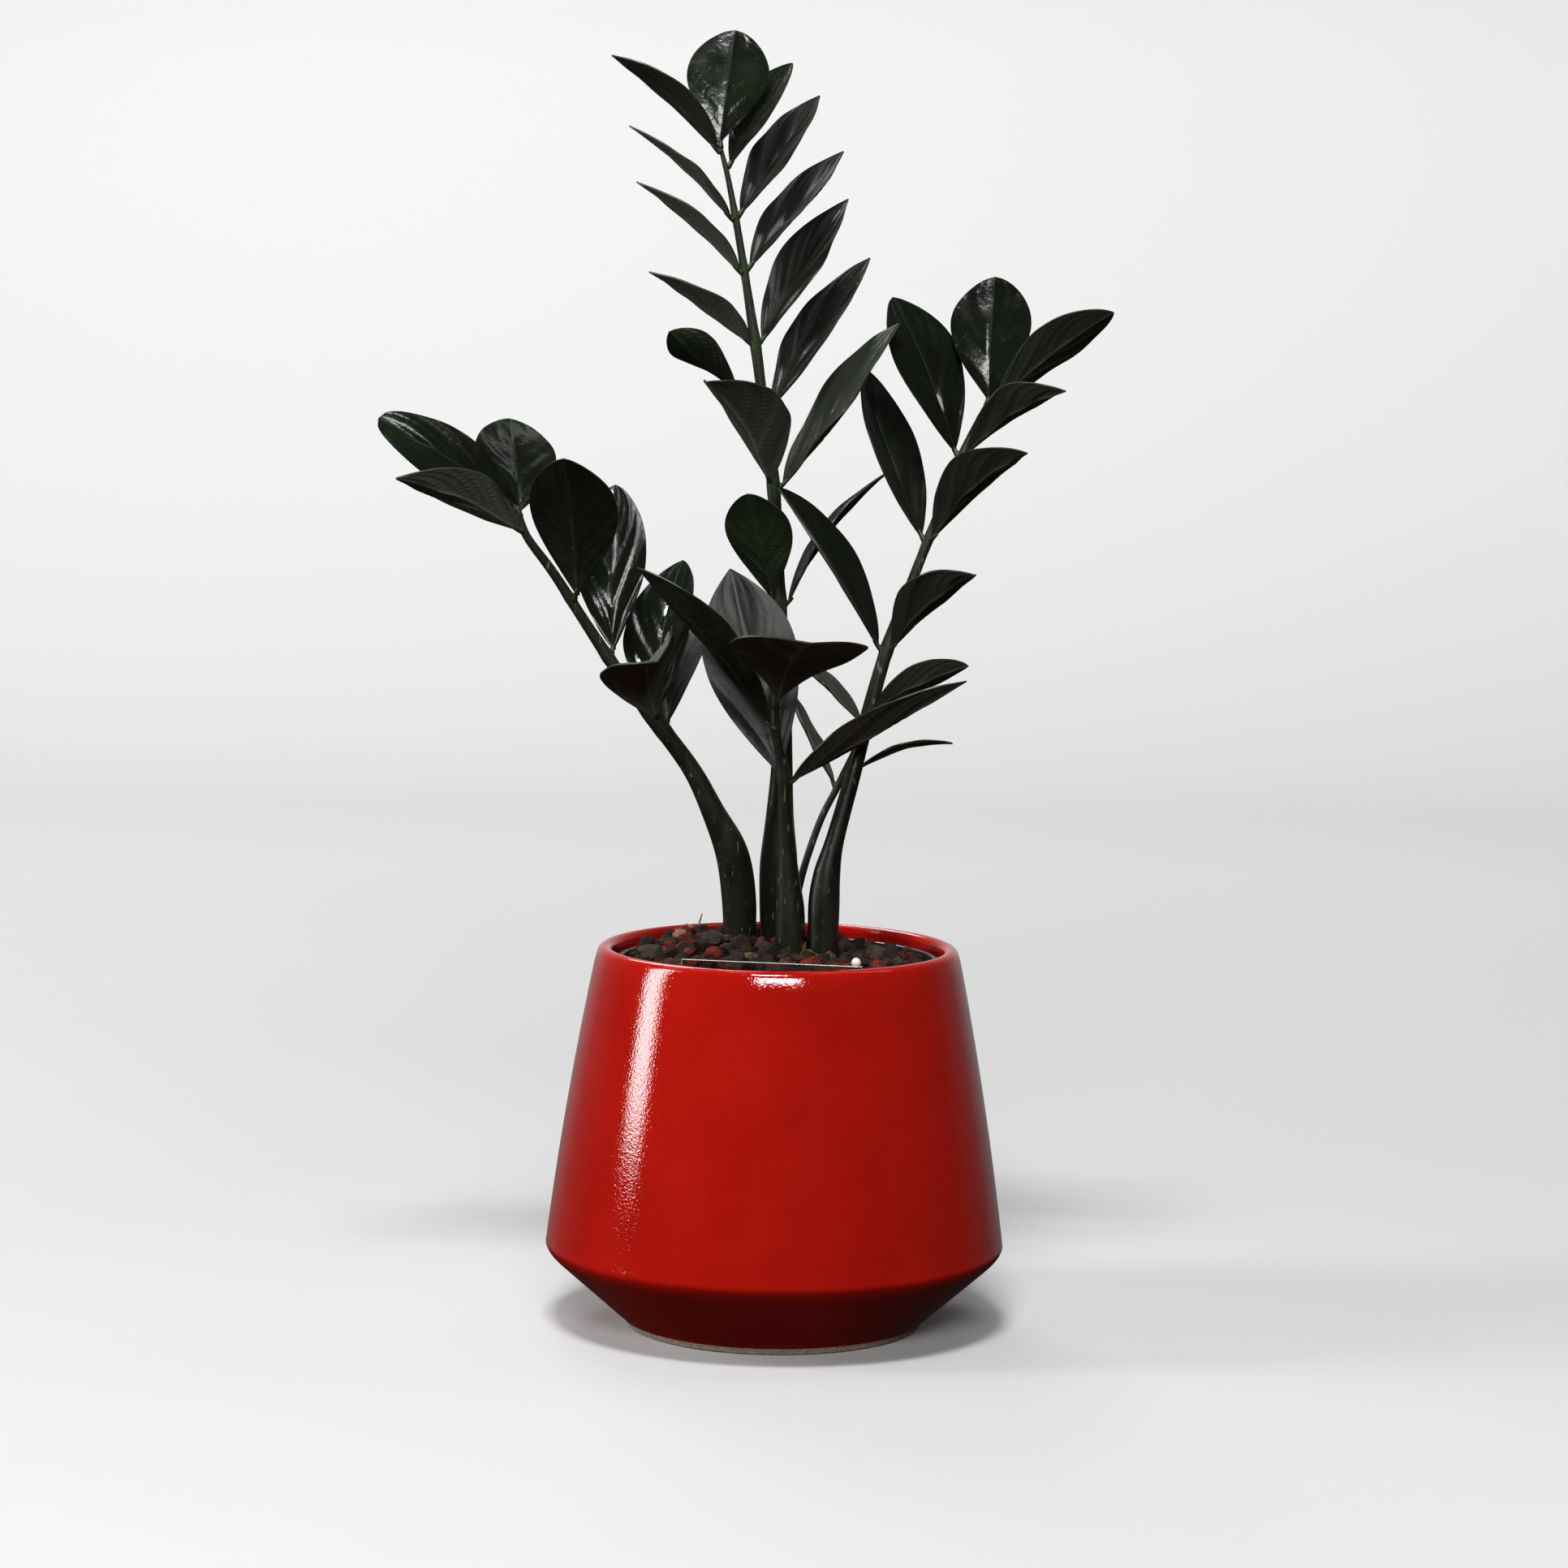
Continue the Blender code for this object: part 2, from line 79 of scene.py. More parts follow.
def finishPiece(obj, name, stands=(), sharp=None, materials=()):
    pick(obj)
    bpy.ops.object.transform_apply(location=True, rotation=True, scale=True)
    obj.name = obj.data.name = name
    if materials:
        keep = [p.material_index for p in obj.data.polygons]
        obj.data.materials.clear()
        for m in materials:
            obj.data.materials.append(m)
        for p, k in zip(obj.data.polygons, keep):
            p.material_index = min(k, len(materials) - 1)
    if sharp is None:
        bpy.ops.object.shade_smooth()
    else:
        bpy.ops.object.shade_smooth_by_angle(angle=math.radians(sharp))
    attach(obj, "root")
    if stands:
        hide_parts(*stands)
    return obj


def addNode(tree, kind, links=None, stops=(), into=None, **settings):
    # links: socket name or number, to a value, another node's output, or a node that stands for its first output
    # stops: a ramp's places and colours; into: the socket that takes this node's first output
    node = tree.nodes.new("ShaderNode" + kind)
    for key, value in settings.items():
        setattr(node, key, value)
    for key, value in (links or {}).items():
        if isinstance(value, bpy.types.Node):
            value = value.outputs[0]
        if isinstance(value, bpy.types.NodeSocket):
            tree.links.new(value, node.inputs[key])
        else:
            node.inputs[key].default_value = value
    band = node.color_ramp.elements if stops else ()
    while len(band) < len(stops):
        band.new(0.5)
    for element, (at, colour) in zip(band, stops):
        element.position = at
        element.color = linear(colour) if isinstance(colour, str) else (colour, colour, colour, 1.0)
    if into:
        tree.links.new(node.outputs[0], into)
    return node


def startMaterial(name, **sockets):  # a Principled material with its constant values set on the shader's own sockets
    mat = bpy.data.materials.new(name)
    mat.use_nodes = True
    tree = mat.node_tree
    shader = tree.nodes["Principled BSDF"]
    for key, value in sockets.items():
        shader.inputs[key].default_value = value
    spot = addNode(tree, "TexCoord").outputs["Object"]
    return mat, tree, shader, spot


# Pot: earthenware, slip cast and dipped in red gloss glaze
potSizes = {"steps": 160, "height": 0.1664, "shoulder": 0.0339, "footRadius": 0.0646, "widest": 0.1000,
            "lipMiddle": 0.0753, "wall": 0.0072, "floor": 0.0080, "belly": 0.00135, "lean": 0.00035,
            "leanFrom": 0.961, "bareLine": 0.0020, "poleHole": 0.030}
glazeLooks = {"red": "#A61207", "deepRed": "#9F0F05", "thinRed": "#AA1509", "clay": "#F0DDCB",
              "wetClay": "#9C8069", "blotch": 0.030, "smear": 0.009, "gloss": (0.05, 0.085), "peel": 0.0014,
              "speck": 0.0010, "depth": 0.00005, "clayGrain": 0.0012}


def redGlaze():
    # Gloss glaze over a cast body: colour pools a little, and the fired surface has a fine orange peel.
    # Peel and grains are really about half this size, and are drawn at 1 mm and up to break up a highlight's edge.
    looks = glazeLooks
    mat, tree, shader, spot = startMaterial("dippedRedGlaze", IOR=1.58)
    pool = addNode(tree, "TexNoise", {"Vector": spot, "Scale": 1 / looks["blotch"], "Detail": 4})
    addNode(tree, "ValToRGB", {"Fac": pool}, [(0.30, looks["deepRed"]), (0.52, looks["red"]), (0.75, looks["thinRed"])],
            shader.inputs["Base Color"])
    smear = addNode(tree, "TexNoise", {"Vector": spot, "Scale": 1 / looks["smear"], "Detail": 3})
    addNode(tree, "ValToRGB", {"Fac": smear}, list(zip((0.30, 0.75), looks["gloss"])), shader.inputs["Roughness"])
    peel = addNode(tree, "TexNoise", {"Vector": spot, "Scale": 1 / looks["peel"], "Detail": 2, "Roughness": 0.6})
    waves = addNode(tree, "Bump", {"Height": peel, "Distance": looks["depth"]})
    sand = addNode(tree, "TexNoise", {"Vector": spot, "Scale": 1 / looks["speck"], "Detail": 1})
    addNode(tree, "Bump", {"Height": sand, "Distance": looks["depth"], "Normal": waves}, into=shader.inputs["Normal"])
    return mat


def bareClay():
    # Wiped foot ring: the pale body shows as a thin matt line where the glaze was sponged off before firing.
    looks = glazeLooks
    mat, tree, shader, spot = startMaterial("spongedClayFoot", Roughness=0.75, IOR=1.5)
    grain = addNode(tree, "TexNoise", {"Vector": spot, "Scale": 1 / looks["clayGrain"], "Detail": 4, "Roughness": 0.6})
    addNode(tree, "ValToRGB", {"Fac": grain}, [(0.3, looks["wetClay"]), (0.7, looks["clay"])],
            shader.inputs["Base Color"])
    addNode(tree, "Bump", {"Height": grain, "Distance": 0.00008}, into=shader.inputs["Normal"])
    return mat


def turnRings(rings, steps):  # a circle drawn up ring by ring, closed at both ends
    deselect()
    bpy.ops.mesh.primitive_circle_add(vertices=steps, radius=rings[0][0], location=(0, 0, rings[0][1]))
    obj = bpy.context.object
    bpy.ops.object.mode_set(mode="EDIT")
    bpy.ops.mesh.select_mode(type="EDGE")
    bpy.ops.mesh.select_all(action="SELECT")
    bpy.ops.mesh.edge_face_add()
    bpy.ops.mesh.select_all(action="SELECT")
    for (r0, z0), (r1, z1) in zip(rings, rings[1:]):
        bpy.ops.mesh.extrude_region_move(TRANSFORM_OT_translate={"value": (0, 0, z1 - z0)})
        bpy.ops.transform.resize(value=(r1 / r0, r1 / r0, 1), center_override=(0, 0, z1))
    bpy.ops.mesh.select_all(action="SELECT")
    bpy.ops.mesh.normals_make_consistent(inside=False)
    bpy.ops.object.mode_set(mode="OBJECT")
    return obj


def potRings():  # from the underside's middle, up the outside, over the lip and down to the floor inside
    p = potSizes
    lip = p["wall"] / 2
    top = p["height"] - lip
    rings = [(p["poleHole"], 0.0), (p["footRadius"] - 0.0012, 0.0), (p["footRadius"] - 0.0004, 0.0004),
             (p["footRadius"], 0.0010), (p["footRadius"] + 0.0014, p["bareLine"] + 0.0012)]
    low, high = (p["widest"] - 0.0052, p["shoulder"] - 0.0050), (p["widest"], p["shoulder"])
    start = rings[-1]
    for t in (0.12, 0.3, 0.5, 0.7, 0.88, 1.0):  # low cone
        rings.append((start[0] + (low[0] - start[0]) * t, start[1] + (low[1] - start[1]) * t))
    corner, wallFoot = (p["widest"] + 0.0008, p["shoulder"] + 0.0003), (p["widest"] - 0.0004, p["shoulder"] + 0.0032)
    for t in (0.17, 0.34, 0.5, 0.66, 0.83, 1.0):  # rounded shoulder
        rings.append(tuple((1 - t) ** 2 * a + 2 * t * (1 - t) * b + t * t * c
                           for a, b, c in zip(low, corner, wallFoot)))
    wallTop = (p["lipMiddle"] + lip, top)

    def wallAt(t, inward):  # the wall bulges by the belly between shoulder and lip
        return (high[0] + (wallTop[0] - high[0]) * t + p["belly"] * 4 * t * (1 - t) - inward,
                high[1] + (wallTop[1] - high[1]) * t)

    for t in [k / 16 for k in range(1, 15)] + [0.91, 0.94, p["leanFrom"], 0.97, 0.98, 0.99]:
        over = max(0.0, t - p["leanFrom"]) / (1 - p["leanFrom"])
        rings.append(wallAt(t, p["lean"] * over * over))
    for k in range(13):  # lip
        ang = math.radians(19.5) + math.radians(160.5) * k / 12
        lean = p["lean"] * (1 - k / 12)
        rings.append((p["lipMiddle"] - lean + lip * math.cos(ang), top - lean + lip * math.sin(ang)))
    for t in (0.9, 0.7, 0.5, 0.3, 0.1):
        rings.append(wallAt(t, p["wall"]))
    rings += [(p["widest"] - p["wall"], p["shoulder"] + 0.003), (p["widest"] - 0.0112, p["shoulder"] - 0.0005),
              (p["footRadius"] - 0.0040, p["floor"] + 0.003), (p["footRadius"] - 0.0075, p["floor"]),
              (p["poleHole"], p["floor"])]
    return rings


pot = turnRings(potRings(), potSizes["steps"])
for face in pot.data.polygons:
    face.material_index = 1 if face.center.z < potSizes["bareLine"] + 0.0003 else 0
finishPiece(pot, "glazedPot", ["pot"], 40, [redGlaze(), bareClay()])
print("pot done")

# Grow pot: thin clear cup that the plant was raised in, only its rolled rim shows
cupSizes = {"steps": 96, "rim": 0.0704, "wallOut": 0.0686, "top": 0.1610, "foot": 0.0500, "floor": 0.0083,
            "wall": 0.0011, "poleHole": 0.020}
cupLooks = {"smoky": "#4A4744", "milky": "#6B6762", "haze": 0.006, "ripple": 0.004}


def smokyPlastic():
    # Thermoformed clear polypropylene: faintly milky and grey, softly glossy, with fine moulding ripples.
    looks = cupLooks
    mat, tree, shader, spot = startMaterial("formedClearPolypropylene", IOR=1.49, Roughness=0.22)
    shader.inputs["Transmission Weight"].default_value = 0.75
    haze = addNode(tree, "TexNoise", {"Vector": spot, "Scale": 1 / looks["haze"], "Detail": 3})
    addNode(tree, "ValToRGB", {"Fac": haze}, [(0.3, looks["smoky"]), (0.7, looks["milky"])],
            shader.inputs["Base Color"])
    level = addNode(tree, "Mapping", {"Vector": spot, "Scale": (1, 1, 6)})
    ripple = addNode(tree, "TexNoise", {"Vector": level, "Scale": 1 / looks["ripple"], "Detail": 2})
    addNode(tree, "Bump", {"Height": ripple, "Distance": 0.00008}, into=shader.inputs["Normal"])
    return mat


def growPot():
    c = cupSizes
    wallIn = c["wallOut"] - c["wall"]
    rings = [(c["poleHole"], c["floor"]), (c["foot"] - 0.003, c["floor"]), (c["foot"], c["floor"] + 0.003),
             (c["wallOut"], c["top"] - 0.0060), (c["rim"] - 0.0002, c["top"] - 0.0051),
             (c["rim"], c["top"] - 0.0040), (c["rim"], c["top"] - 0.0009), (c["rim"] - 0.0004, c["top"] - 0.0002),
             (c["rim"] - 0.0010, c["top"]), (wallIn + 0.0006, c["top"]), (wallIn + 0.0001, c["top"] - 0.0003),
             (wallIn, c["top"] - 0.0010), (wallIn, c["top"] - 0.0060), (c["foot"] - c["wall"], c["floor"] + 0.0034),
             (c["foot"] - 0.0036, c["floor"] + c["wall"]), (c["poleHole"], c["floor"] + c["wall"])]
    return turnRings(rings, c["steps"])


finishPiece(growPot(), "clearGrowPot", ["grow_pot"], 40, [smokyPlastic()])
print("grow pot done")

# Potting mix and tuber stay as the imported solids, with their own finishes
mixLooks = {"dark": "#1D1511", "bark": "#4A3524", "crumb": 0.0035, "fleck": 0.004}
tuberLooks = {"cork": "#5E4A31", "tan": "#9B8259", "ring": 0.012}


def pottingMix():
    # Screened bark and peat, damp: nearly black crumbs with brown bark flecks, no gloss.
    looks = mixLooks
    mat, tree, shader, spot = startMaterial("screenedPottingMix", Roughness=0.92, IOR=1.4)
    crumb = addNode(tree, "TexVoronoi", {"Vector": spot, "Scale": 1 / looks["crumb"]})
    fleck = addNode(tree, "TexNoise", {"Vector": spot, "Scale": 1 / looks["fleck"], "Detail": 5, "Roughness": 0.65})
    addNode(tree, "ValToRGB", {"Fac": fleck}, [(0.42, looks["dark"]), (0.68, looks["bark"])],
            shader.inputs["Base Color"])
    addNode(tree, "Bump", {"Height": crumb, "Distance": 0.0012}, into=shader.inputs["Normal"])
    return mat


def tuberSkin():
    # Living storage root: dry tan skin with rings and darker corky patches.
    looks = tuberLooks
    mat, tree, shader, spot = startMaterial("dryTuberSkin", Roughness=0.8, IOR=1.4)
    level = addNode(tree, "Mapping", {"Vector": spot, "Scale": (1, 1, 5)})
    ring = addNode(tree, "TexNoise", {"Vector": level, "Scale": 1 / looks["ring"], "Detail": 4})
    addNode(tree, "ValToRGB", {"Fac": ring}, [(0.35, looks["cork"]), (0.65, looks["tan"])], shader.inputs["Base Color"])
    addNode(tree, "Bump", {"Height": ring, "Distance": 0.0006}, into=shader.inputs["Normal"])
    return mat


for name, finish in (("soil", pottingMix()), ("tuber", tuberSkin())):
    nodes[name].data.materials.clear()
    nodes[name].data.materials.append(finish)

# Plant tables, in millimetres and degrees: each stem's x, y, height above the gravel and radius
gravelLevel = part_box("grow_pot")[1].z - 0.0030
stems = {
    "tall": [(0, 42, -38, 6.5), (0, 42, 0, 7.6), (0, 41.5, 24, 8.4), (0, 41, 40, 8.3), (0.2, 41, 60, 6.2),
             (0.8, 41, 82, 4.8), (0.6, 41, 107, 4.2), (-0.4, 40, 135, 3.8), (-2.3, 39, 162, 3.5),
             (-4.5, 38, 206, 2.8), (-10, 37, 245, 2.3), (-13, 37, 266, 2.4), (-17.6, 37, 294, 1.8),
             (-21.6, 37, 317, 1.6), (-26.2, 37, 340, 1.2), (-29.7, 37, 353, 0.9)],
    "left": [(-17, 41, -38, 6.0), (-17, 41, 0, 7.0), (-17.4, 38, 23, 7.7), (-20.7, 34, 44, 7.4),
             (-29.2, 30, 63, 5.2), (-38.4, 28, 81, 4.1), (-51.4, 25, 99, 3.6), (-70.6, 21, 124, 2.9),
             (-85.3, 17, 146, 2.4), (-99.4, 13, 168, 2.1), (-111, 10, 184, 1.8), (-115, 8, 196, 1.3)],
    "front": [(5.2, 16, -38, 5.5), (5.2, 16, 0, 6.2), (5.2, 15.5, 20, 6.4), (4.2, 15, 34, 5.2),
              (3.2, 14, 51, 3.7), (2.2, 12, 69, 2.8), (1.2, 11, 83, 2.6), (-1, 9, 97, 1.4),
              (-2.2, 7, 112, 1.0)],
    "right": [(19.8, 14, -38, 5.5), (19.8, 14, 0, 6.3), (19.8, 14.5, 23, 6.9), (21, 15, 38, 5.9),
              (24.3, 16, 53, 4.1), (31.5, 20, 80, 3.5), (38, 23, 107, 3.3), (45.9, 25, 136, 2.9),
              (53, 27, 156, 2.4), (63, 29, 183, 2.1), (78, 32, 222, 1.7), (88.4, 34, 243, 1.3)],
    "back": [(6.5, 52, -38, 1.9), (6.5, 52, 0, 1.9), (9.2, 52, 27, 1.7), (17.6, 53, 55, 1.6),
             (25.7, 54, 72, 1.5), (33.8, 54, 90, 1.3), (40.3, 54, 106, 1.1)],
}
# Leaflets: foot height, length, width, heading, rise, roll, bow, fold, twist, where it is widest
leaflets = {
    "tall": [("end", 51, 36, 64, 74, 17, 0.04, 8, 0, 0.60), (352, 62, 26, -158, 39, 8, 0.06, 10, 0, 0.50),
             (345, 52, 27, 16, 57, 22, 0.04, 14, 0, 0.54), (324, 63, 28, 19, 54, 18, 0.02, 14, 0, 0.52),
             (323, 60, 22, -157, 39, -4, 0.05, 5, 0, 0.48), (301, 66, 28, 16, 49, 18, 0.02, 16, 0, 0.52),
             (300, 60, 26, -157, 38, 0, 0.05, 7, 0, 0.48), (269, 74, 32, 21, 56, 15, 0.02, 16, 0, 0.52),
             (269, 56, 28, -153, 32, 3, 0.04, 9, 0, 0.48), (240, 80, 32, 19, 54, 15, 0.02, 18, 0, 0.52),
             (240, 53, 25, -156, 39, 10, 0.0, 14, 90, 0.66), (206, 87, 32, -9, 55, 31, 0.0, 18, 0, 0.50),
             (209, 70, 40, -120, 38, -2, 0.08, 24, 0, 0.50), (157, 50, 31, -128, 68, 18, 0.03, 8, 0, 0.62),
             (154, 74, 20, 15, 52, -6, 0.07, 12, 0, 0.50)],
    "left": [("end", 70, 27, -169, 32, -66, 0.05, 8, 0, 0.52), (188, 67, 29, -142, 20, 25, 0.06, 18, 0, 0.50),
             (194, 55, 36, 100, 45, 8, 0.05, 10, 0, 0.56), (157, 68, 40, -99, 62, -5, 0.06, 10, 0, 0.58),
             (132, 75, 34, 91, 71, -17, 0.05, 12, 0, 0.56), (106, 72, 36, 73, 61, -18, 0.08, 14, 0, 0.50),
             (105, 60, 40, -88, 28, 30, 0.17, 22, 0, 0.52), (100, 61, 32, 65, 44, -20, 0.08, 14, 0, 0.50)],
    "front": [("end", 74, 58, -78, 25, -4, 0.09, 5, 0, 0.68), (103, 92, 32, -165, 49, 18, 0.04, 16, 0, 0.54),
              (82, 93, 42, 135, 70, -44, 0.02, 5, 0, 0.58), (79, 89, 30, -14, 31, -19, 0.0, 20, 0, 0.50)],
    "right": [("end", 56, 36, 80, 74, -6, 0.05, 8, 0, 0.60), (241, 69, 30, -13, 39, -34, 0.05, 14, 0, 0.60),
              (221, 74, 35, 149, 64, -26, 0.05, 12, 0, 0.57), (222, 60, 28, -41, 28, -15, 0.08, 24, 0, 0.57),
              (185, 66, 32, -45, 36, -15, 0.09, 26, 0, 0.57), (184, 80, 32, 140, 65, -1, -0.02, 16, 0, 0.54),
              (137, 60, 30, -47, 35, -13, 0.09, 24, 0, 0.57), (136, 82, 32, -172, 57, -30, 0.03, 20, 0, 0.50)],
    "back": [("end", 48, 24, 16, 23, -42, 0.04, 14, 0, 0.50), (100, 45, 18, 164, 42, -5, 0.02, 14, 0, 0.50),
             (78, 49, 14, 10, 17, -15, 0.09, 12, 0, 0.50), (73, 45, 20, 156, 61, 10, -0.03, 14, 0, 0.50)],
}
stemLooks = {"dark": "#13150F", "olive": "#1E2116", "grey": "#2A2923", "node": "#2C361D", "fleck": "#6B6450",
             "greyFrom": 0.26, "greyBy": 0.42, "blotch": 0.006, "fleckSize": 0.0016, "rib": 0.0018,
             "resolution": 6, "swell": 0.10}


def smooth(points, steps):  # a smooth curve through (x, y, z, radius) points
    out = []
    pts = [Vector(p) for p in points]
    pts = [2 * pts[0] - pts[1]] + pts + [2 * pts[-1] - pts[-2]]
    for i in range(1, len(pts) - 2):
        a, b, c, d = pts[i - 1:i + 3]
        for k in range(steps):
            t = k / steps
            out.append(0.5 * (2 * b + (c - a) * t + (2 * a - 5 * b + 4 * c - d) * t * t
                              + (3 * b - a - 3 * c + d) * t ** 3))
    out.append(pts[-2])
    return out


def place(x, y, height):
    return Vector((x * mm, y * mm, gravelLevel + height * mm))


stemPaths = {name: smooth([(*place(x, y, h), r * mm) for x, y, h, r in rows], 2) for name, rows in stems.items()}
finePaths = {name: smooth([(*place(x, y, h), r * mm) for x, y, h, r in rows], 6) for name, rows in stems.items()}


def onStem(stemName, height, paths=stemPaths):  # middle, direction and radius at a height above the gravel
    path = paths[stemName]
    level = 9.0 if height == "end" else place(0, 0, height).z
    for a, b in zip(path, path[1:]):
        if b.z >= level or b is path[-1]:
            t = min(1.0, max(0.0, (level - a.z) / (b.z - a.z)))
            spot = a.lerp(b, t)
            return Vector(spot[:3]), (Vector(b[:3]) - Vector(a[:3])).normalized(), spot[3]


def tube(points, sides, name):  # points are (x, y, z, radius); one tapered round tube with closed ends
    curve = bpy.data.curves.new(name, "CURVE")
    curve.dimensions = "3D"
    curve.bevel_depth = 1.0
    curve.bevel_resolution = sides
    curve.use_fill_caps = True
    line = curve.splines.new("POLY")
    line.points.add(len(points) - 1)
    for point, spot in zip(line.points, points):
        point.co = (spot[0], spot[1], spot[2], 1.0)
        point.radius = spot[3]
    obj = bpy.data.objects.new(name, curve)
    bpy.context.scene.collection.objects.link(obj)
    pick(obj)
    bpy.ops.object.convert(target="MESH")
    obj = bpy.context.object
    bpy.ops.object.mode_set(mode="EDIT")
    bpy.ops.mesh.select_all(action="SELECT")
    bpy.ops.mesh.remove_doubles(threshold=0.000001)
    bpy.ops.mesh.normals_make_consistent(inside=False)
    bpy.ops.object.mode_set(mode="OBJECT")
    return obj


def stemSkin():
    # Succulent petiole, grown: satin olive-black skin, greyer towards the top, with short pale flecks along it
    # and greener where leaflets join.
    looks = stemLooks
    mat, tree, shader, spot = startMaterial("satinPetioleSkin", IOR=1.37)
    tall = addNode(tree, "Mapping", {"Vector": spot, "Scale": (1, 1, 0.25)})
    broad = addNode(tree, "TexNoise", {"Vector": tall, "Scale": 1 / looks["blotch"], "Detail": 4})
    base = addNode(tree, "ValToRGB", {"Fac": broad},
                   [(0.32, looks["dark"]), (0.62, looks["olive"]), (0.85, looks["grey"])])
    height = addNode(tree, "SeparateXYZ", {"Vector": spot}).outputs["Z"]
    rise = addNode(tree, "MapRange", {"Value": height, "From Min": looks["greyFrom"], "From Max": looks["greyBy"]})
    grey = addNode(tree, "Mix", {0: rise, 6: base, 7: linear(looks["grey"])}, data_type="RGBA").outputs[2]
    streak = addNode(tree, "Mapping", {"Vector": spot, "Scale": (1, 1, 0.22)})
    fleck = addNode(tree, "TexNoise", {"Vector": streak, "Scale": 1 / looks["fleckSize"], "Detail": 2,
                                       "Roughness": 0.4})
    share = addNode(tree, "ValToRGB", {"Fac": fleck}, [(0.66, 0.0), (0.74, 1.0)])
    marked = addNode(tree, "Mix", {0: share, 6: grey, 7: linear(looks["fleck"])}, data_type="RGBA").outputs[2]
    green = addNode(tree, "Attribute", attribute_name="joint").outputs["Fac"]
    final = addNode(tree, "Mix", {0: green, 6: marked, 7: linear(looks["node"])}, data_type="RGBA").outputs[2]
    tree.links.new(final, shader.inputs["Base Color"])
    addNode(tree, "ValToRGB", {"Fac": broad}, [(0.2, 0.34), (0.8, 0.5)], shader.inputs["Roughness"])
    line = addNode(tree, "Mapping", {"Vector": spot, "Scale": (1, 1, 0.08)})
    ribs = addNode(tree, "TexNoise", {"Vector": line, "Scale": 1 / looks["rib"], "Detail": 2})
    addNode(tree, "Bump", {"Height": ribs, "Distance": 0.00018}, into=shader.inputs["Normal"])
    return mat


def paint(obj, name, values):  # one number per vertex
    layer = obj.data.attributes.new(name, "FLOAT", "POINT")
    layer.data.foreach_set("value", values)


stemFinish = stemSkin()
for stemName, rows in stems.items():
    feet = [row[0] for row in leaflets[stemName] if row[0] != "end"]
    points = []
    for p in finePaths[stemName]:
        above = (p[2] - gravelLevel) / mm
        swell = sum(math.exp(-((above - f) / 2.6) ** 2) for f in feet)  # the stem thickens at each leaf joint
        points.append((p[0], p[1], p[2], p[3] * (1 + stemLooks["swell"] * min(swell, 1.2))))
    obj = tube(points, stemLooks["resolution"], stemName)
    joint = []
    for v in obj.data.vertices:
        above = (v.co.z - gravelLevel) / mm
        joint.append(min(1.0, sum(math.exp(-((above - f) / 3.0) ** 2) for f in feet) * (0.8 if above > 200 else 0.25)))
    paint(obj, "joint", joint)
    finishPiece(obj, stemName + "Stem", [stemName + "_stem"], None, [stemFinish])
print("stems done")

# Leaflets: thick, waxed blades with a sunk midrib, curved side veins and a rumpled surface
bladeSizes = {"along": 60, "across": 26, "thick": 0.0007, "ridge": 0.00032, "veins": 6, "sweep": 0.24,
              "quilt": 0.8, "lump": 3.0, "groove": 0.0004, "grooveWide": 0.0009, "midrib": 0.00045, "edgeWave": 0.0006,
              "footGap": 0.0009, "footRoom": 0.0019, "stalk": 0.00175, "stalkThin": 0.00115}
# The paintedSheen colour is a painted grey sheen that the skin of leaflets which catch more light is mixed toward
leafLooks = {"dark": "#0B0E09", "mid": "#11160E", "paintedSheen": "#565D50", "young": "#1E2B10", "vein": "#2A3122",
             "under": "#191E17", "veinGain": (3.0, 2.9, 2.6), "edge": "#39402C", "polish": (0.12, 0.21), "satin": 0.17,
             "blotch": 0.014, "patch": 0.006, "gloss": 0.010, "crinkle": 0.0035, "fine": 0.0008,
             "underBlotch": 0.012, "underGloss": 0.008, "underCrinkle": 0.0028, "rimBlotch": 0.006}
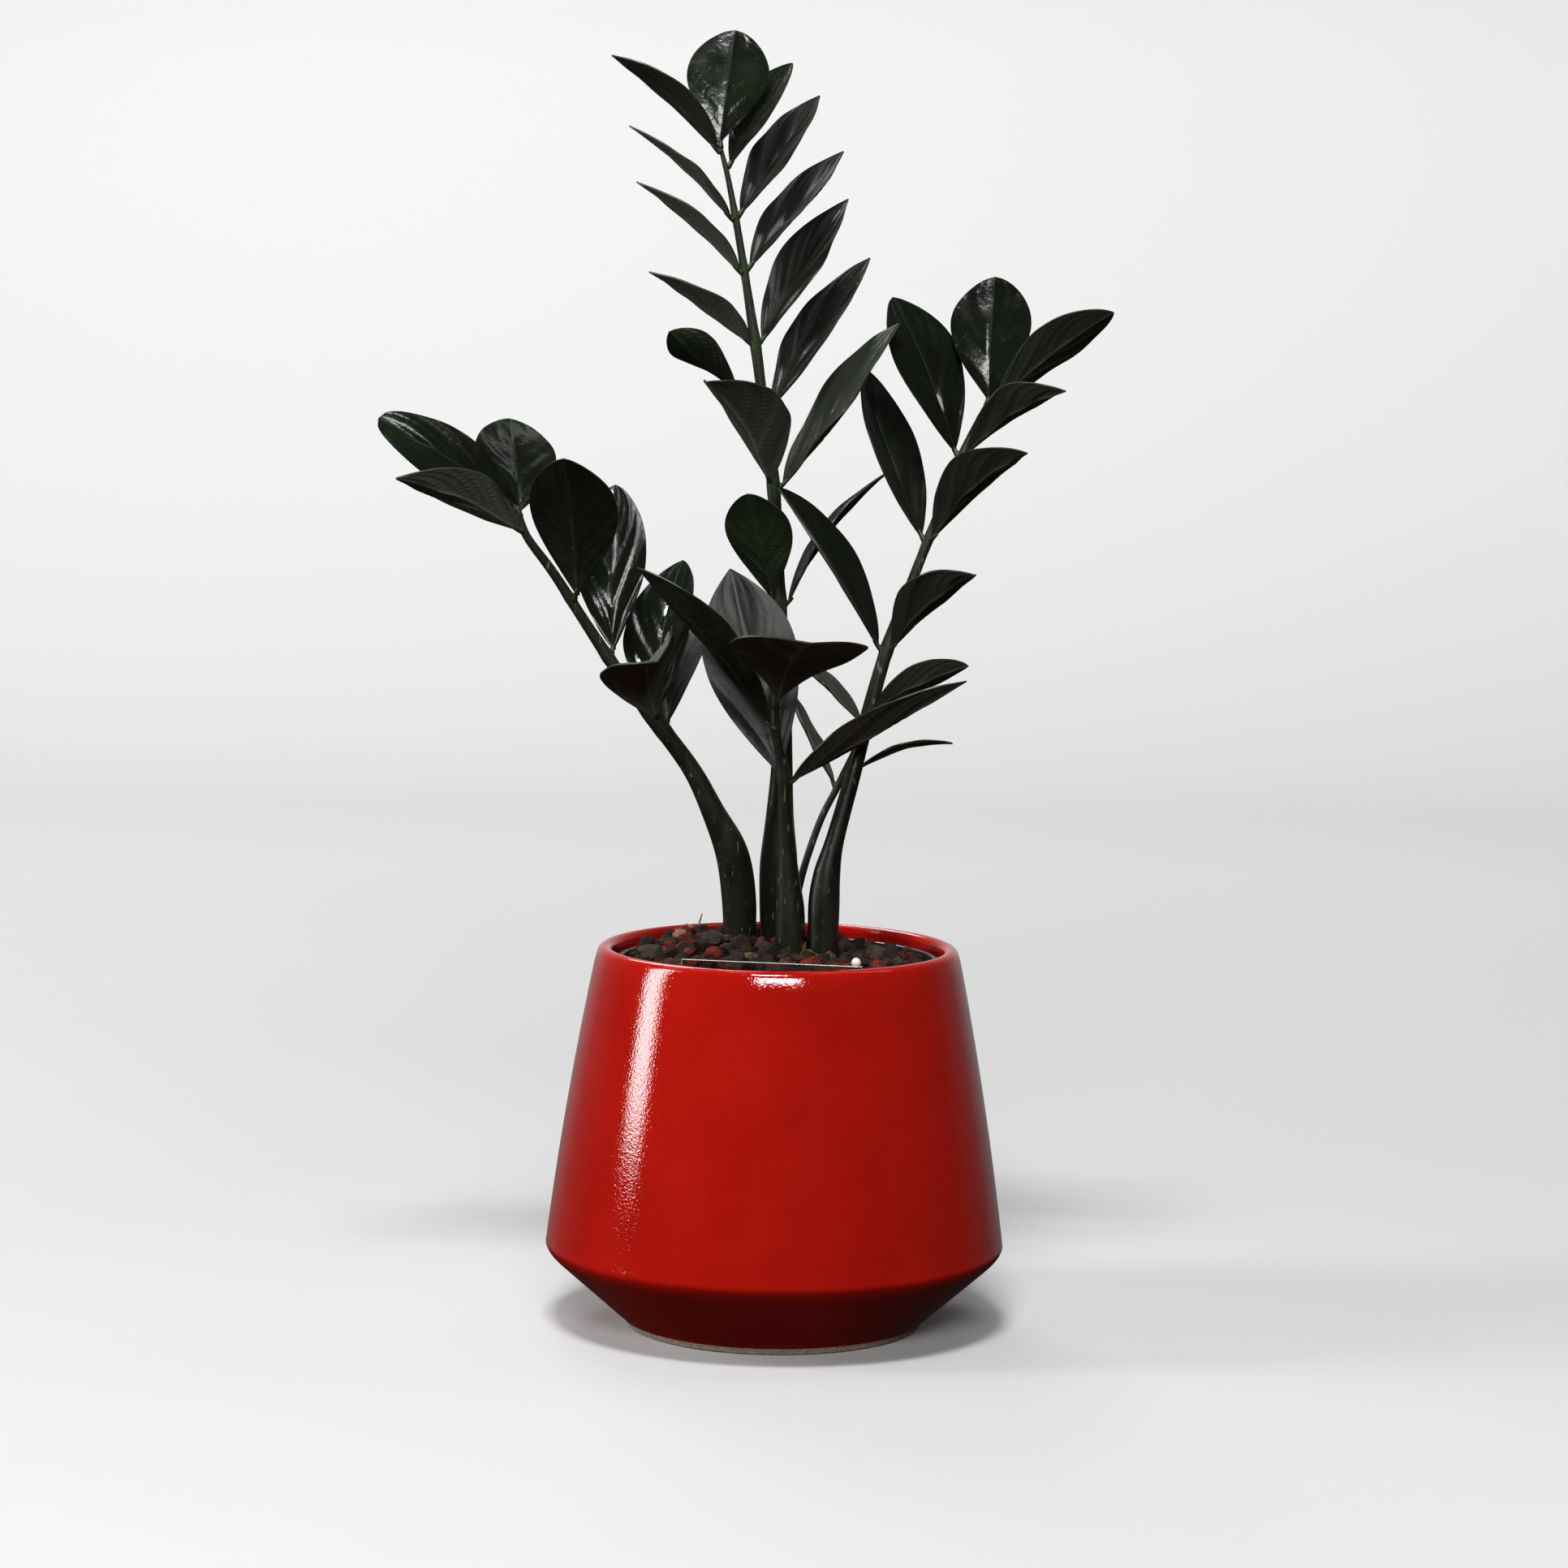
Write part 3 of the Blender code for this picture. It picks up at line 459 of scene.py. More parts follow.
# Per leaflet: tip (small is round, large is pointed), hook (sideways bend), rumple, young (green share and where),
# paintedSheen (share of painted grey sheen, standing in for the light the skin catches), satin (0 is glossy) and flat
# (share of the blade's fold that shows)
plainBlade = {"tip": 0.72, "hook": 0.0, "rumple": 1.0, "young": (0.0, 1.0, 0.3), "paintedSheen": 0.0, "satin": 1.0, "flat": 1.0}
bladeLooks = {
    "tall_01": {"tip": 0.62, "young": (0.4, 0.42, 0.26), "rumple": 0.5, "satin": 0.0, "flat": 0.4},
    "tall_02": {"tip": 0.95, "hook": -0.03, "paintedSheen": 0.15},
    "tall_03": {"tip": 0.80, "hook": 0.03, "young": (0.25, 0.9, 0.3), "satin": 0.5},
    "tall_04": {"tip": 0.95, "hook": 0.04, "rumple": 1.6, "satin": 1.5},
    "tall_05": {"tip": 1.05, "hook": -0.03, "paintedSheen": 1.0},
    "tall_06": {"tip": 0.95, "hook": 0.05, "rumple": 2.8, "satin": 1.5},
    "tall_07": {"tip": 1.05, "hook": -0.03, "paintedSheen": 1.0},
    "tall_08": {"tip": 0.95, "hook": 0.05, "rumple": 2.2}, "tall_09": {"tip": 1.0, "hook": -0.03, "paintedSheen": 1.0},
    "tall_10": {"tip": 0.95, "hook": 0.05, "rumple": 3.0}, "tall_11": {"tip": 0.72, "young": (0.6, 1.0, 0.2)},
    "tall_12": {"tip": 0.85, "rumple": 2.8, "paintedSheen": 0.2},
    "tall_13": {"tip": 0.8, "rumple": 2.2, "paintedSheen": 0.6, "flat": 1.4},
    "tall_14": {"tip": 0.66, "young": (0.6, 0.6, 0.36), "rumple": 0.8},
    "tall_15": {"tip": 0.9, "rumple": 1.8, "paintedSheen": 0.1},
    "left_01": {"tip": 0.46, "young": (0.5, 0.95, 0.22), "satin": 0.3},
    "left_02": {"paintedSheen": 1.0, "tip": 0.85, "rumple": 2.2},
    "left_03": {"tip": 0.7, "young": (0.8, 1.0, 0.18), "rumple": 1.0, "satin": 0.0, "flat": 0.5},
    "left_04": {"rumple": 0.8}, "left_05": {"rumple": 1.6, "satin": 0.0}, "left_06": {"rumple": 1.6, "satin": 0.0},
    "left_07": {"paintedSheen": 0.8, "rumple": 1.8}, "left_08": {"paintedSheen": 0.08, "rumple": 1.4},
    "front_01": {"tip": 0.60, "rumple": 2.2, "paintedSheen": 0.9}, "front_02": {"tip": 0.95, "rumple": 1.5},
    "front_03": {"tip": 0.9, "rumple": 1.5, "satin": 1.6}, "front_04": {"tip": 0.95, "rumple": 1.6, "paintedSheen": 0.3},
    "right_01": {"tip": 0.62, "rumple": 0.7, "satin": 0.0, "flat": 0.3}, "right_02": {"rumple": 1.4, "paintedSheen": 0.3},
    "right_03": {"satin": 0.2}, "right_04": {"paintedSheen": 0.35, "rumple": 1.6}, "right_05": {"paintedSheen": 0.22, "rumple": 1.5},
    "right_07": {"paintedSheen": 0.28, "rumple": 1.6},
}


def paintedSheenShare(tree, base):  # painted sheen: some leaflets' skin is painted greyer and lighter, standing in for the light and sheen they catch
    share = addNode(tree, "Attribute", attribute_name="paintedSheen").outputs["Fac"]
    return addNode(tree, "Mix", {0: share, 6: base, 7: linear(leafLooks["paintedSheen"])}, data_type="RGBA").outputs[2]


def leafTop():
    # Waxed upper skin: almost black green, satin to glossy in patches, fine crinkles that break up the highlights,
    # a thin paler midrib and side veins.
    looks = leafLooks
    mat, tree, shader, spot = startMaterial("waxedLeafTop", IOR=1.42)
    tone = addNode(tree, "TexNoise", {"Vector": spot, "Scale": 1 / looks["blotch"], "Detail": 4})
    # skin colour mixed toward grey by the painted sheen
    base = paintedSheenShare(tree, addNode(tree, "ValToRGB", {"Fac": tone}, [(0.3, looks["dark"]), (0.7, looks["mid"])]))
    young = addNode(tree, "Attribute", attribute_name="young").outputs["Fac"]
    spread = addNode(tree, "TexNoise", {"Vector": spot, "Scale": 1 / looks["patch"], "Detail": 3})
    patchy = addNode(tree, "ValToRGB", {"Fac": spread}, [(0.35, 0.25), (0.7, 1.0)])
    patch = addNode(tree, "Math", {0: young, 1: patchy}, operation="MULTIPLY")
    green = addNode(tree, "Mix", {0: patch, 6: base, 7: linear(looks["young"])}, data_type="RGBA").outputs[2]
    vein = addNode(tree, "Attribute", attribute_name="vein").outputs["Fac"]
    faint = addNode(tree, "ValToRGB", {"Fac": vein}, [(0.30, 0.0), (0.62, 0.12), (1.0, 0.9)])
    veined = addNode(tree, "Mix", {0: faint, 6: green, 7: linear(looks["vein"])}, data_type="RGBA").outputs[2]
    tree.links.new(veined, shader.inputs["Base Color"])
    gloss = addNode(tree, "TexNoise", {"Vector": spot, "Scale": 1 / looks["gloss"], "Detail": 3})
    polish = addNode(tree, "ValToRGB", {"Fac": gloss}, list(zip((0.3, 0.7), looks["polish"])))
    satin = addNode(tree, "Attribute", attribute_name="satin").outputs["Fac"]
    addNode(tree, "Math", {0: satin, 1: looks["satin"], 2: polish}, into=shader.inputs["Roughness"],
            operation="MULTIPLY_ADD")
    crinkle = addNode(tree, "TexNoise", {"Vector": spot, "Scale": 1 / looks["crinkle"], "Detail": 4,
                                         "Roughness": 0.55, "Distortion": 0.6})
    waves = addNode(tree, "Bump", {"Height": crinkle, "Distance": 0.00016})
    fine = addNode(tree, "TexNoise", {"Vector": spot, "Scale": 1 / looks["fine"]})
    addNode(tree, "Bump", {"Height": fine, "Distance": 0.00002, "Normal": waves}, into=shader.inputs["Normal"])
    return mat


def leafUnder():
    # Lower skin: a little paler and duller, with the veins standing out in grey green.
    looks = leafLooks
    mat, tree, shader, spot = startMaterial("dullLeafUnderside", IOR=1.42)
    tone = addNode(tree, "TexNoise", {"Vector": spot, "Scale": 1 / looks["underBlotch"], "Detail": 4})
    # skin colour mixed toward grey by the painted sheen
    base = paintedSheenShare(tree, addNode(tree, "ValToRGB", {"Fac": tone}, [(0.3, looks["mid"]), (0.7, looks["under"])]))
    vein = addNode(tree, "Attribute", attribute_name="vein").outputs["Fac"]
    part = addNode(tree, "ValToRGB", {"Fac": vein}, [(0.05, 0.0), (0.60, 0.22), (1.0, 0.75)])
    veined = addNode(tree, "Mix", {0: part, 6: base, 7: (*looks["veinGain"], 1.0)}, data_type="RGBA",
                     blend_type="MULTIPLY").outputs[2]
    young = addNode(tree, "Attribute", attribute_name="young").outputs["Fac"]
    green = addNode(tree, "Mix", {0: young, 6: veined, 7: linear(looks["young"])}, data_type="RGBA").outputs[2]
    tree.links.new(green, shader.inputs["Base Color"])
    gloss = addNode(tree, "TexNoise", {"Vector": spot, "Scale": 1 / looks["underGloss"], "Detail": 3})
    addNode(tree, "ValToRGB", {"Fac": gloss}, [(0.3, 0.34), (0.7, 0.48)], shader.inputs["Roughness"])
    raised = addNode(tree, "Bump", {"Height": vein, "Distance": 0.0005})
    crinkle = addNode(tree, "TexNoise", {"Vector": spot, "Scale": 1 / looks["underCrinkle"], "Detail": 4,
                                         "Roughness": 0.55, "Distortion": 0.4})
    addNode(tree, "Bump", {"Height": crinkle, "Distance": 0.00016, "Normal": raised}, into=shader.inputs["Normal"])
    return mat


def leafEdge():
    # Cut of the blade: a thin, slightly translucent rim, paler than the faces: partly its own tone, partly a painted
    # highlight for the light it catches.
    mat, tree, shader, spot = startMaterial("leafRimWithPaintedGlint", Roughness=0.4, IOR=1.42)
    tone = addNode(tree, "TexNoise", {"Vector": spot, "Scale": 1 / leafLooks["rimBlotch"]})
    addNode(tree, "ValToRGB", {"Fac": tone}, [(0.3, leafLooks["mid"]), (0.7, leafLooks["edge"])],
            shader.inputs["Base Color"])
    return mat


def halfWidth(t, width, peak, tip):  # the blade's outline; it never closes fully, so no face has zero size
    if t <= 0 or t >= 1:
        body = 0.0
    else:
        wave = math.sin(math.pi * t ** (math.log(0.5) / math.log(peak)))
        past = max(0.0, (t - peak) / (1 - peak))
        body = wave ** (0.72 + (tip - 0.72) * past)
    return max(width / 2 * body, 1.0 * mm * (1 - t) + 0.15 * mm)


def veinAt(t, a, count, sweep, seed):  # how close to a vein, from 0 to 1, and where between two veins
    slant = (t - sweep * abs(a) ** 1.15) * count + 0.5 * noise.noise(Vector((t * 2.2, seed, 3.0 if a > 0 else 8.0)))
    between = slant - math.floor(slant)
    near = min(between, 1 - between)
    return math.exp(-(near / 0.062) ** 2), between


leafFinishes = [leafTop(), leafUnder(), leafEdge()]


def addLeaflet(stemName, count, row):  # shapes one blade and gives back the route of its stalk
    foot, length, width, heading, rise, roll, bow, fold, twist, peak = row
    key = f"{stemName}_{count:02d}"
    # back leaflets get a painted grey sheen for the light they catch
    looks = {**plainBlade, "paintedSheen": 0.6 if stemName == "back" else 0.0, **bladeLooks.get(key, {})}
    seed = sum(ord(c) for c in key) * 0.37
    length, width = length * mm, width * mm
    head, lift, turn = math.radians(heading), math.radians(rise), math.radians(roll)
    along = Vector((math.cos(head) * math.cos(lift), math.sin(head) * math.cos(lift), math.sin(lift)))
    side = Vector((-math.sin(head), math.cos(head), 0.0))
    face = along.cross(side)
    spot, run, radius = onStem(stemName, foot)
    atFoot = turn - math.radians(twist) / 2
    across = side * math.cos(atFoot) + face * math.sin(atFoot)
    s = bladeSizes
    if foot == "end":
        start = spot + run * s["footGap"] + along * 0.6 * mm
    else:
        away = (along - run * along.dot(run)).normalized()
        start = spot + away * (radius + s["footGap"] + s["footRoom"] * abs(across.dot(away)))
    deselect()
    bpy.ops.mesh.primitive_grid_add(x_subdivisions=s["across"], y_subdivisions=s["along"], size=2)
    obj = bpy.context.object
    young, vein = [], []
    up = math.radians(fold) * looks["flat"]
    sweep = s["sweep"] * length / width
    for v in obj.data.vertices:  # a runs across the blade from -1 to 1, t along it from 0 to 1
        a, t = -v.co.x, (v.co.y + 1) / 2
        t = t + 0.04 * math.sin(2 * math.pi * t) / math.pi  # stations a little closer at both ends
        spin = turn + math.radians(twist) * (t - 0.5)
        sideways = side * math.cos(spin) + face * math.sin(spin)
        upward = face * math.cos(spin) - side * math.sin(spin)
        wobble = 1 + 0.035 * noise.noise(Vector((t * 3.1, seed, 1.0 if a > 0 else 4.0)))
        half = halfWidth(t, width, peak, looks["tip"]) * wobble
        middle = start + along * length * t + upward * (bow * length * 4 * t * (1 - t))
        middle += sideways * looks["hook"] * length * t ** 3
        near, between = veinAt(t, a, s["veins"], sweep, seed)
        fade = math.sin(math.pi * min(1, max(0, t))) ** 0.5 * min(1.0, half / (9 * mm))
        rib = math.exp(-(a * half / s["grooveWide"]) ** 2)
        quilt = math.sin(math.pi * between) * math.sin(math.pi * min(1.0, abs(a) * 1.02)) ** 0.8
        lump = noise.noise(Vector(((t - sweep * abs(a)) * 4.2 + seed, a * 0.9, seed)))
        relief = looks["rumple"] * s["ridge"] * (s["quilt"] * quilt + s["lump"] * lump) - s["groove"] * rib
        wave = s["edgeWave"] * fade * abs(a) ** 3 * noise.noise(Vector((t * 3.5, seed * 2, 7.0 if a > 0 else 2.0)))
        v.co = (middle + sideways * (half * a * math.cos(up))
                + upward * (half * abs(a) * math.sin(up) * abs(a) ** 0.35) + upward * (relief * fade + wave))
        share, middleAt, spread = looks["young"]
        young.append(share * math.exp(-((t - middleAt) / spread) ** 2 - (a * 0.9) ** 4 * 0.5))
        vein.append(min(1.0, 0.55 * near * fade + 0.95 * math.exp(-(a * half / s["midrib"]) ** 2)))
    paint(obj, "young", young)
    # per-vertex share of the painted grey sheen
    paint(obj, "paintedSheen", [looks["paintedSheen"]] * len(young))
    paint(obj, "satin", [looks["satin"]] * len(young))
    paint(obj, "vein", vein)
    obj.data.update()
    skin = obj.modifiers.new("thickness", "SOLIDIFY")
    skin.thickness = s["thick"]
    skin.offset = 0.0
    skin.material_offset = 1
    skin.material_offset_rim = 2
    obj.data.materials.clear()
    for m in leafFinishes:
        obj.data.materials.append(m)
    applyAll(obj)
    finishPiece(obj, f"{stemName}Leaflet{count:02d}", [f"{stemName}_leaflet_{count:02d}"], 50)
    # short thick stalk from inside the stem's skin to the blade's foot
    if foot == "end":
        root = Vector(finePaths[stemName][-1][:3]) - run * 0.6 * mm
    else:
        core = onStem(stemName, foot, finePaths)[0]
        root = core + (start - core) * 0.35 - run * 1.2 * mm
    end = start + along * 3.2 * mm
    bend = root.lerp(end, 0.5) - run * 0.5 * mm
    stalk = []
    for k in range(9):
        t = k / 8
        p = root * (1 - t) ** 2 + bend * 2 * t * (1 - t) + end * t * t
        stalk.append((*p, (s["stalk"] - s["stalkThin"] * t ** 0.8) * min(1.0, 0.55 + length / 0.14)))
    return stalk


stalks = {}
for stemName, rows in leaflets.items():
    stalks[stemName] = [addLeaflet(stemName, count, row) for count, row in enumerate(rows, 1)]


for stemName, rows in stalks.items():
    made = []
    for points in rows:
        obj = tube(points, 3, "stalk")
        paint(obj, "joint", [0.75] * len(obj.data.vertices))
        made.append(obj)
    finishPiece(joinPieces(made), stemName + "LeafStalks", (), None, [stemFinish])
print("leaflets done")

# Gravel: broken lava, tipped in and left loose
gravelSizes = {"radius": 0.0664, "base": 0.1527, "rise": 0.0026, "heap": 0.0055, "heapPlace": (-0.030, 0.034),
               "heapReach": 0.050, "kinds": 7, "grid": 0.0006, "footprint": 0.82, "squat": 0.74, "shade": (0.42, 0.82),
               "lowerTries": 1500, "lowerSizes": (0.0055, 0.0085), "lowerDepth": 0.0035, "upperTries": 5000,
               "upperSizes": (0.006, 0.007, 0.008, 0.009, 0.010, 0.011, 0.0115, 0.012), "upperRise": 0.0012}
gravelLooks = {"dust": "#6B5443", "mottle": 0.0022, "dustSize": 0.0011, "pore": 0.0009, "lump": 0.0016}
labelSizes = {"length": 0.0780, "thick": 0.0012, "turn": -11.5, "room": 0.041}  # here because the stones leave it room
stoneColours = [("#433023", 24), ("#33241B", 20), ("#4E3829", 14), ("#281F1A", 11), ("#412624", 11), ("#5E2315", 10),
                ("#842E15", 6), ("#73563A", 4)]
# Stones that stand out, in millimetres: x, y, size across, colour, shape kind
namedStones = [(14.3, -22, 12.5, "#8E2E14", 0), (24.5, -32, 10.5, "#A84A18", 1), (-43, 35, 8.5, "#C98E66", 2),
               (-53, 9, 4.6, "#8F7650", 3), (-36, 15, 7.5, "#8C4A28", 4), (-11.9, -4, 8.5, "#7A5C3C", 5),
               (-21, 31, 13.5, "#4C443C", 1), (-34, 47, 10, "#2D2622", 2), (50, 22, 12, "#2E2520", 0),
               (54, -22, 9.5, "#352C26", 3), (-55, 31, 13.5, "#4A3D33", 4), (-49, 19, 11.5, "#4B4038", 5),
               (-54, -7, 13.0, "#4D3F33", 6), (-39, -1, 7.0, "#8A2A16", 0), (-29, 17, 12.5, "#453C38", 2),
               (-25, 52, 10.5, "#6A3A30", 1), (30, 30, 10.5, "#544138", 4), (43, 12, 13.0, "#54463A", 6),
               (52, -5, 11.0, "#5C4334", 1), (60, 8, 8.5, "#6B241A", 5), (36, 43, 10.5, "#2F2722", 3),
               (36.5, 1, 6.0, "#9A3018", 2), (2, -17, 7.5, "#6D5236", 4), (-6.6, 12, 10.5, "#4E383A", 0),
               (27, 35, 8.0, "#5E3034", 3), (43, -36, 8.5, "#5E4631", 2), (50, -29, 7.5, "#7E3A26", 5),
               (18.7, -35, 3.6, "#B9A58F", 2), (-29, -28, 8.0, "#4F4034", 1), (-12, -28, 7.0, "#463A30", 4)]


def stoneKind(seed):  # one broken lump, about 1 across, with flats left by bisecting
    rnd = random.Random(seed * 7 + 3)
    deselect()
    bpy.ops.mesh.primitive_ico_sphere_add(subdivisions=2, radius=0.5)
    obj = bpy.context.object
    bpy.ops.object.mode_set(mode="EDIT")
    for k in range(8):
        way = Vector((rnd.uniform(-1, 1), rnd.uniform(-1, 1), rnd.uniform(-1, 1))).normalized()
        bpy.ops.mesh.select_all(action="SELECT")
        bpy.ops.mesh.bisect(plane_co=way * rnd.uniform(0.29, 0.42), plane_no=way, use_fill=True, clear_outer=True)
    bpy.ops.mesh.select_all(action="SELECT")
    bpy.ops.mesh.remove_doubles(threshold=0.05)
    bpy.ops.mesh.quads_convert_to_tris()
    bpy.ops.object.mode_set(mode="OBJECT")
    stretch = Vector((1.0, rnd.uniform(0.72, 0.95), rnd.uniform(0.6, 0.85)))
    for v in obj.data.vertices:
        broad = noise.noise(v.co * 3.2 + Vector((seed, 0, 0)))
        fine = noise.noise(v.co * 9 + Vector((0, seed, 0)))
        v.co = v.co * stretch * (1 + 0.20 * broad + 0.10 * fine)
    wide = max(math.hypot(v.co.x, v.co.y) for v in obj.data.vertices) * 2
    for v in obj.data.vertices:
        v.co /= wide
    obj.data.update()
    pick(obj)
    bpy.ops.object.mode_set(mode="EDIT")
    bpy.ops.mesh.select_all(action="SELECT")
    bpy.ops.mesh.normals_make_consistent(inside=False)
    bpy.ops.object.mode_set(mode="OBJECT")
    return obj


def lavaStone():
    # Crushed volcanic rock: porous and matt, rust to charcoal from stone to stone, dusty in patches.
    # Its pores are mostly under 0.5 mm and are drawn at 0.9 mm so that they show.
    looks = gravelLooks
    mat, tree, shader, spot = startMaterial("crushedLavaStone", Roughness=0.9, IOR=1.33)
    tone = addNode(tree, "Attribute", attribute_name="stoneTone").outputs["Color"]
    patches = addNode(tree, "TexNoise", {"Vector": spot, "Scale": 1 / looks["mottle"], "Detail": 5, "Roughness": 0.65})
    mottle = addNode(tree, "ValToRGB", {"Fac": patches}, [(0.3, 0.35), (0.72, 1.0)])
    dyed = addNode(tree, "Mix", {0: 1.0, 6: tone, 7: mottle}, data_type="RGBA", blend_type="MULTIPLY").outputs[2]
    powder = addNode(tree, "TexNoise", {"Vector": spot, "Scale": 1 / looks["dustSize"], "Detail": 3})
    dust = addNode(tree, "ValToRGB", {"Fac": powder}, [(0.62, 0.0), (0.80, 0.22)])
    dusty = addNode(tree, "Mix", {0: dust, 6: dyed, 7: linear(looks["dust"])}, data_type="RGBA").outputs[2]
    tree.links.new(dusty, shader.inputs["Base Color"])
    pores = addNode(tree, "TexVoronoi", {"Vector": spot, "Scale": 1 / looks["pore"]})
    pitted = addNode(tree, "Bump", {"Height": pores, "Distance": 0.00030, "Strength": 0.8})
    lumps = addNode(tree, "TexNoise", {"Vector": spot, "Scale": 1 / looks["lump"], "Detail": 4, "Roughness": 0.6})
    addNode(tree, "Bump", {"Height": lumps, "Distance": 0.0005, "Strength": 0.8, "Normal": pitted},
            into=shader.inputs["Normal"])
    return mat


def surfaceAt(x, y):  # how high the stones reach at a place
    g = gravelSizes
    away = math.hypot(x - g["heapPlace"][0], y - g["heapPlace"][1]) / g["heapReach"]
    return gravelLevel + g["rise"] + g["heap"] * math.exp(-away * away)


def pourStones():
    g = gravelSizes
    kinds = [stoneKind(k) for k in range(g["kinds"])]
    cell = g["grid"]
    heights = {}
    blocks = [(rows[1][0] * mm, rows[1][1] * mm, rows[1][3] * mm) for rows in stems.values()]
    labelLow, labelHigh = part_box("label")
    labelMiddle = (labelLow + labelHigh) / 2
    turned = math.radians(labelSizes["turn"])
    labelWay = Vector((math.cos(turned), math.sin(turned)))
    made = []

    def free(x, y, r):  # clear of the rim, the stems and the label
        if math.hypot(x, y) > g["radius"] - r * 0.92:
            return False
        for bx, by, br in blocks:
            if math.hypot(x - bx, y - by) < br + r * 0.80:
                return False
        d = Vector((x - labelMiddle.x, y - labelMiddle.y))
        beside = abs(d.x * -labelWay.y + d.y * labelWay.x) < r * 0.85 + 0.0007
        return not (abs(d.dot(labelWay)) < labelSizes["room"] + r * 0.5 and beside)

    def cells(x, y, r):  # the squares a round stone covers, and how far it reaches down there
        ci, cj, n = round(x / cell), round(y / cell), int(r / cell) + 1
        for i in range(ci - n, ci + n + 1):
            for j in range(cj - n, cj + n + 1):
                d2 = (i * cell - x) ** 2 + (j * cell - y) ** 2
                if d2 < r * r:
                    yield (i, j), math.sqrt(r * r - d2)

    def drop(x, y, size, colour, kind, rnd, limit=None):
        r = size / 2 * g["footprint"]
        tall = g["squat"]
        under = [(key, h * tall) for key, h in cells(x, y, r)]
        if not under:
            return False
        z = max(heights.get(key, g["base"]) + h for key, h in under)
        if limit is not None and z + r * tall * 0.55 > limit:
            return False
        for key, h in under:
            heights[key] = max(heights.get(key, 0), z + h * 0.86)
        turn = Matrix.Rotation(rnd.uniform(0, 6.28), 4, "Z") @ Matrix.Rotation(rnd.uniform(-0.5, 0.5), 4, "X")
        if rnd.random() < 0.5:
            turn = turn @ Matrix.Rotation(math.pi, 4, "Y")
        mesh = kinds[kind].data.copy()
        mesh.transform(Matrix.Translation((x, y, z)) @ turn @ Matrix.Scale(size, 4))
        layer = mesh.color_attributes.new("stoneTone", "FLOAT_COLOR", "POINT")
        shade = linear(colour)
        vary = rnd.uniform(*g["shade"])
        layer.data.foreach_set("color", [c for _ in mesh.vertices for c in (*[s * vary for s in shade[:3]], 1.0)])
        obj = bpy.data.objects.new("stone", mesh)
        bpy.context.scene.collection.objects.link(obj)
        made.append(obj)
        return True

    rnd = random.Random(5)
    palette = [c for c, n in stoneColours for _ in range(n)]
    for tries in range(g["lowerTries"]):  # a lower layer that hides the soil
        ang, out = rnd.uniform(0, 2 * math.pi), math.sqrt(rnd.random()) * g["radius"]
        x, y, size = out * math.cos(ang), out * math.sin(ang), rnd.uniform(*g["lowerSizes"])
        if free(x, y, size / 2):
            drop(x, y, size, rnd.choice(palette), rnd.randrange(g["kinds"]), rnd, surfaceAt(x, y) - g["lowerDepth"])
    print("lower stones", len(made))
    for x, y, size, colour, kind in namedStones:
        size *= mm
        if free(x * mm, y * mm, size * 0.36):
            drop(x * mm, y * mm, size, colour, kind, rnd)
    for tries in range(g["upperTries"]):
        ang, out = rnd.uniform(0, 2 * math.pi), math.sqrt(rnd.random()) * g["radius"]
        x, y = out * math.cos(ang), out * math.sin(ang)
        size = rnd.choice(g["upperSizes"])
        if free(x, y, size / 2):
            drop(x, y, size, rnd.choice(palette), rnd.randrange(g["kinds"]), rnd, surfaceAt(x, y) + g["upperRise"])
    for k in kinds:
        bpy.data.objects.remove(k)
    print("stones", len(made))
    return made, heights


stones, stoneHeights = pourStones()
half = len(stones) // 2
lava = lavaStone()
finishPiece(joinPieces(stones[:half]), "lavaGravelLower", ["gravel"], 24, [lava])
finishPiece(joinPieces(stones[half:]), "lavaGravelUpper", ["gravel"], 24, [lava])
print("gravel done")


def restAt(x, y):
    cell = gravelSizes["grid"]
    return stoneHeights.get((round(x / cell), round(y / cell)), surfaceAt(x, y))


# Slow-release prill, twigs of old root and papery scales at the stems' feet
litterSizes = {"prill": 0.0041, "prillAt": (0.0332, -0.0347), "twig": 0.0006, "scale": 0.00022}
litterLooks = {"cream": "#D9D6C4", "white": "#EDEBE0", "brown": "#5C452C", "tan": "#A98A5E"}


def prillCoat():
    # Coated fertiliser bead: white, smooth and slightly waxy, with a faint yellow cast.
    mat, tree, shader, spot = startMaterial("coatedPrill", Roughness=0.35, IOR=1.45)
    tone = addNode(tree, "TexNoise", {"Vector": spot, "Scale": 1 / 0.0015})
    addNode(tree, "ValToRGB", {"Fac": tone}, [(0.3, litterLooks["cream"]), (0.7, litterLooks["white"])],
            shader.inputs["Base Color"])
    return mat


def driedScale():
    # Dead leaf base: thin and papery, tan with darker streaks, matt.
    mat, tree, shader, spot = startMaterial("driedScaleLeaf", Roughness=0.7, IOR=1.4)
    tall = addNode(tree, "Mapping", {"Vector": spot, "Scale": (1, 1, 0.2)})
    streak = addNode(tree, "TexNoise", {"Vector": tall, "Scale": 1 / 0.0014, "Detail": 3})
    addNode(tree, "ValToRGB", {"Fac": streak}, [(0.3, litterLooks["brown"]), (0.7, litterLooks["tan"])],
            shader.inputs["Base Color"])
    addNode(tree, "Bump", {"Height": streak, "Distance": 0.0002}, into=shader.inputs["Normal"])
    return mat


deselect()
bx, by = litterSizes["prillAt"]
bpy.ops.mesh.primitive_uv_sphere_add(segments=20, ring_count=12, radius=litterSizes["prill"] / 2,
                                     location=(bx, by, restAt(bx, by) + litterSizes["prill"] * 0.42))
prill = bpy.context.object
prill.scale = (1.0, 0.94, 1.06)
for v in prill.data.vertices:
    v.co *= 1 + 0.05 * noise.noise(v.co * 600)
finishPiece(prill, "fertiliserPrill", (), None, [prillCoat()])

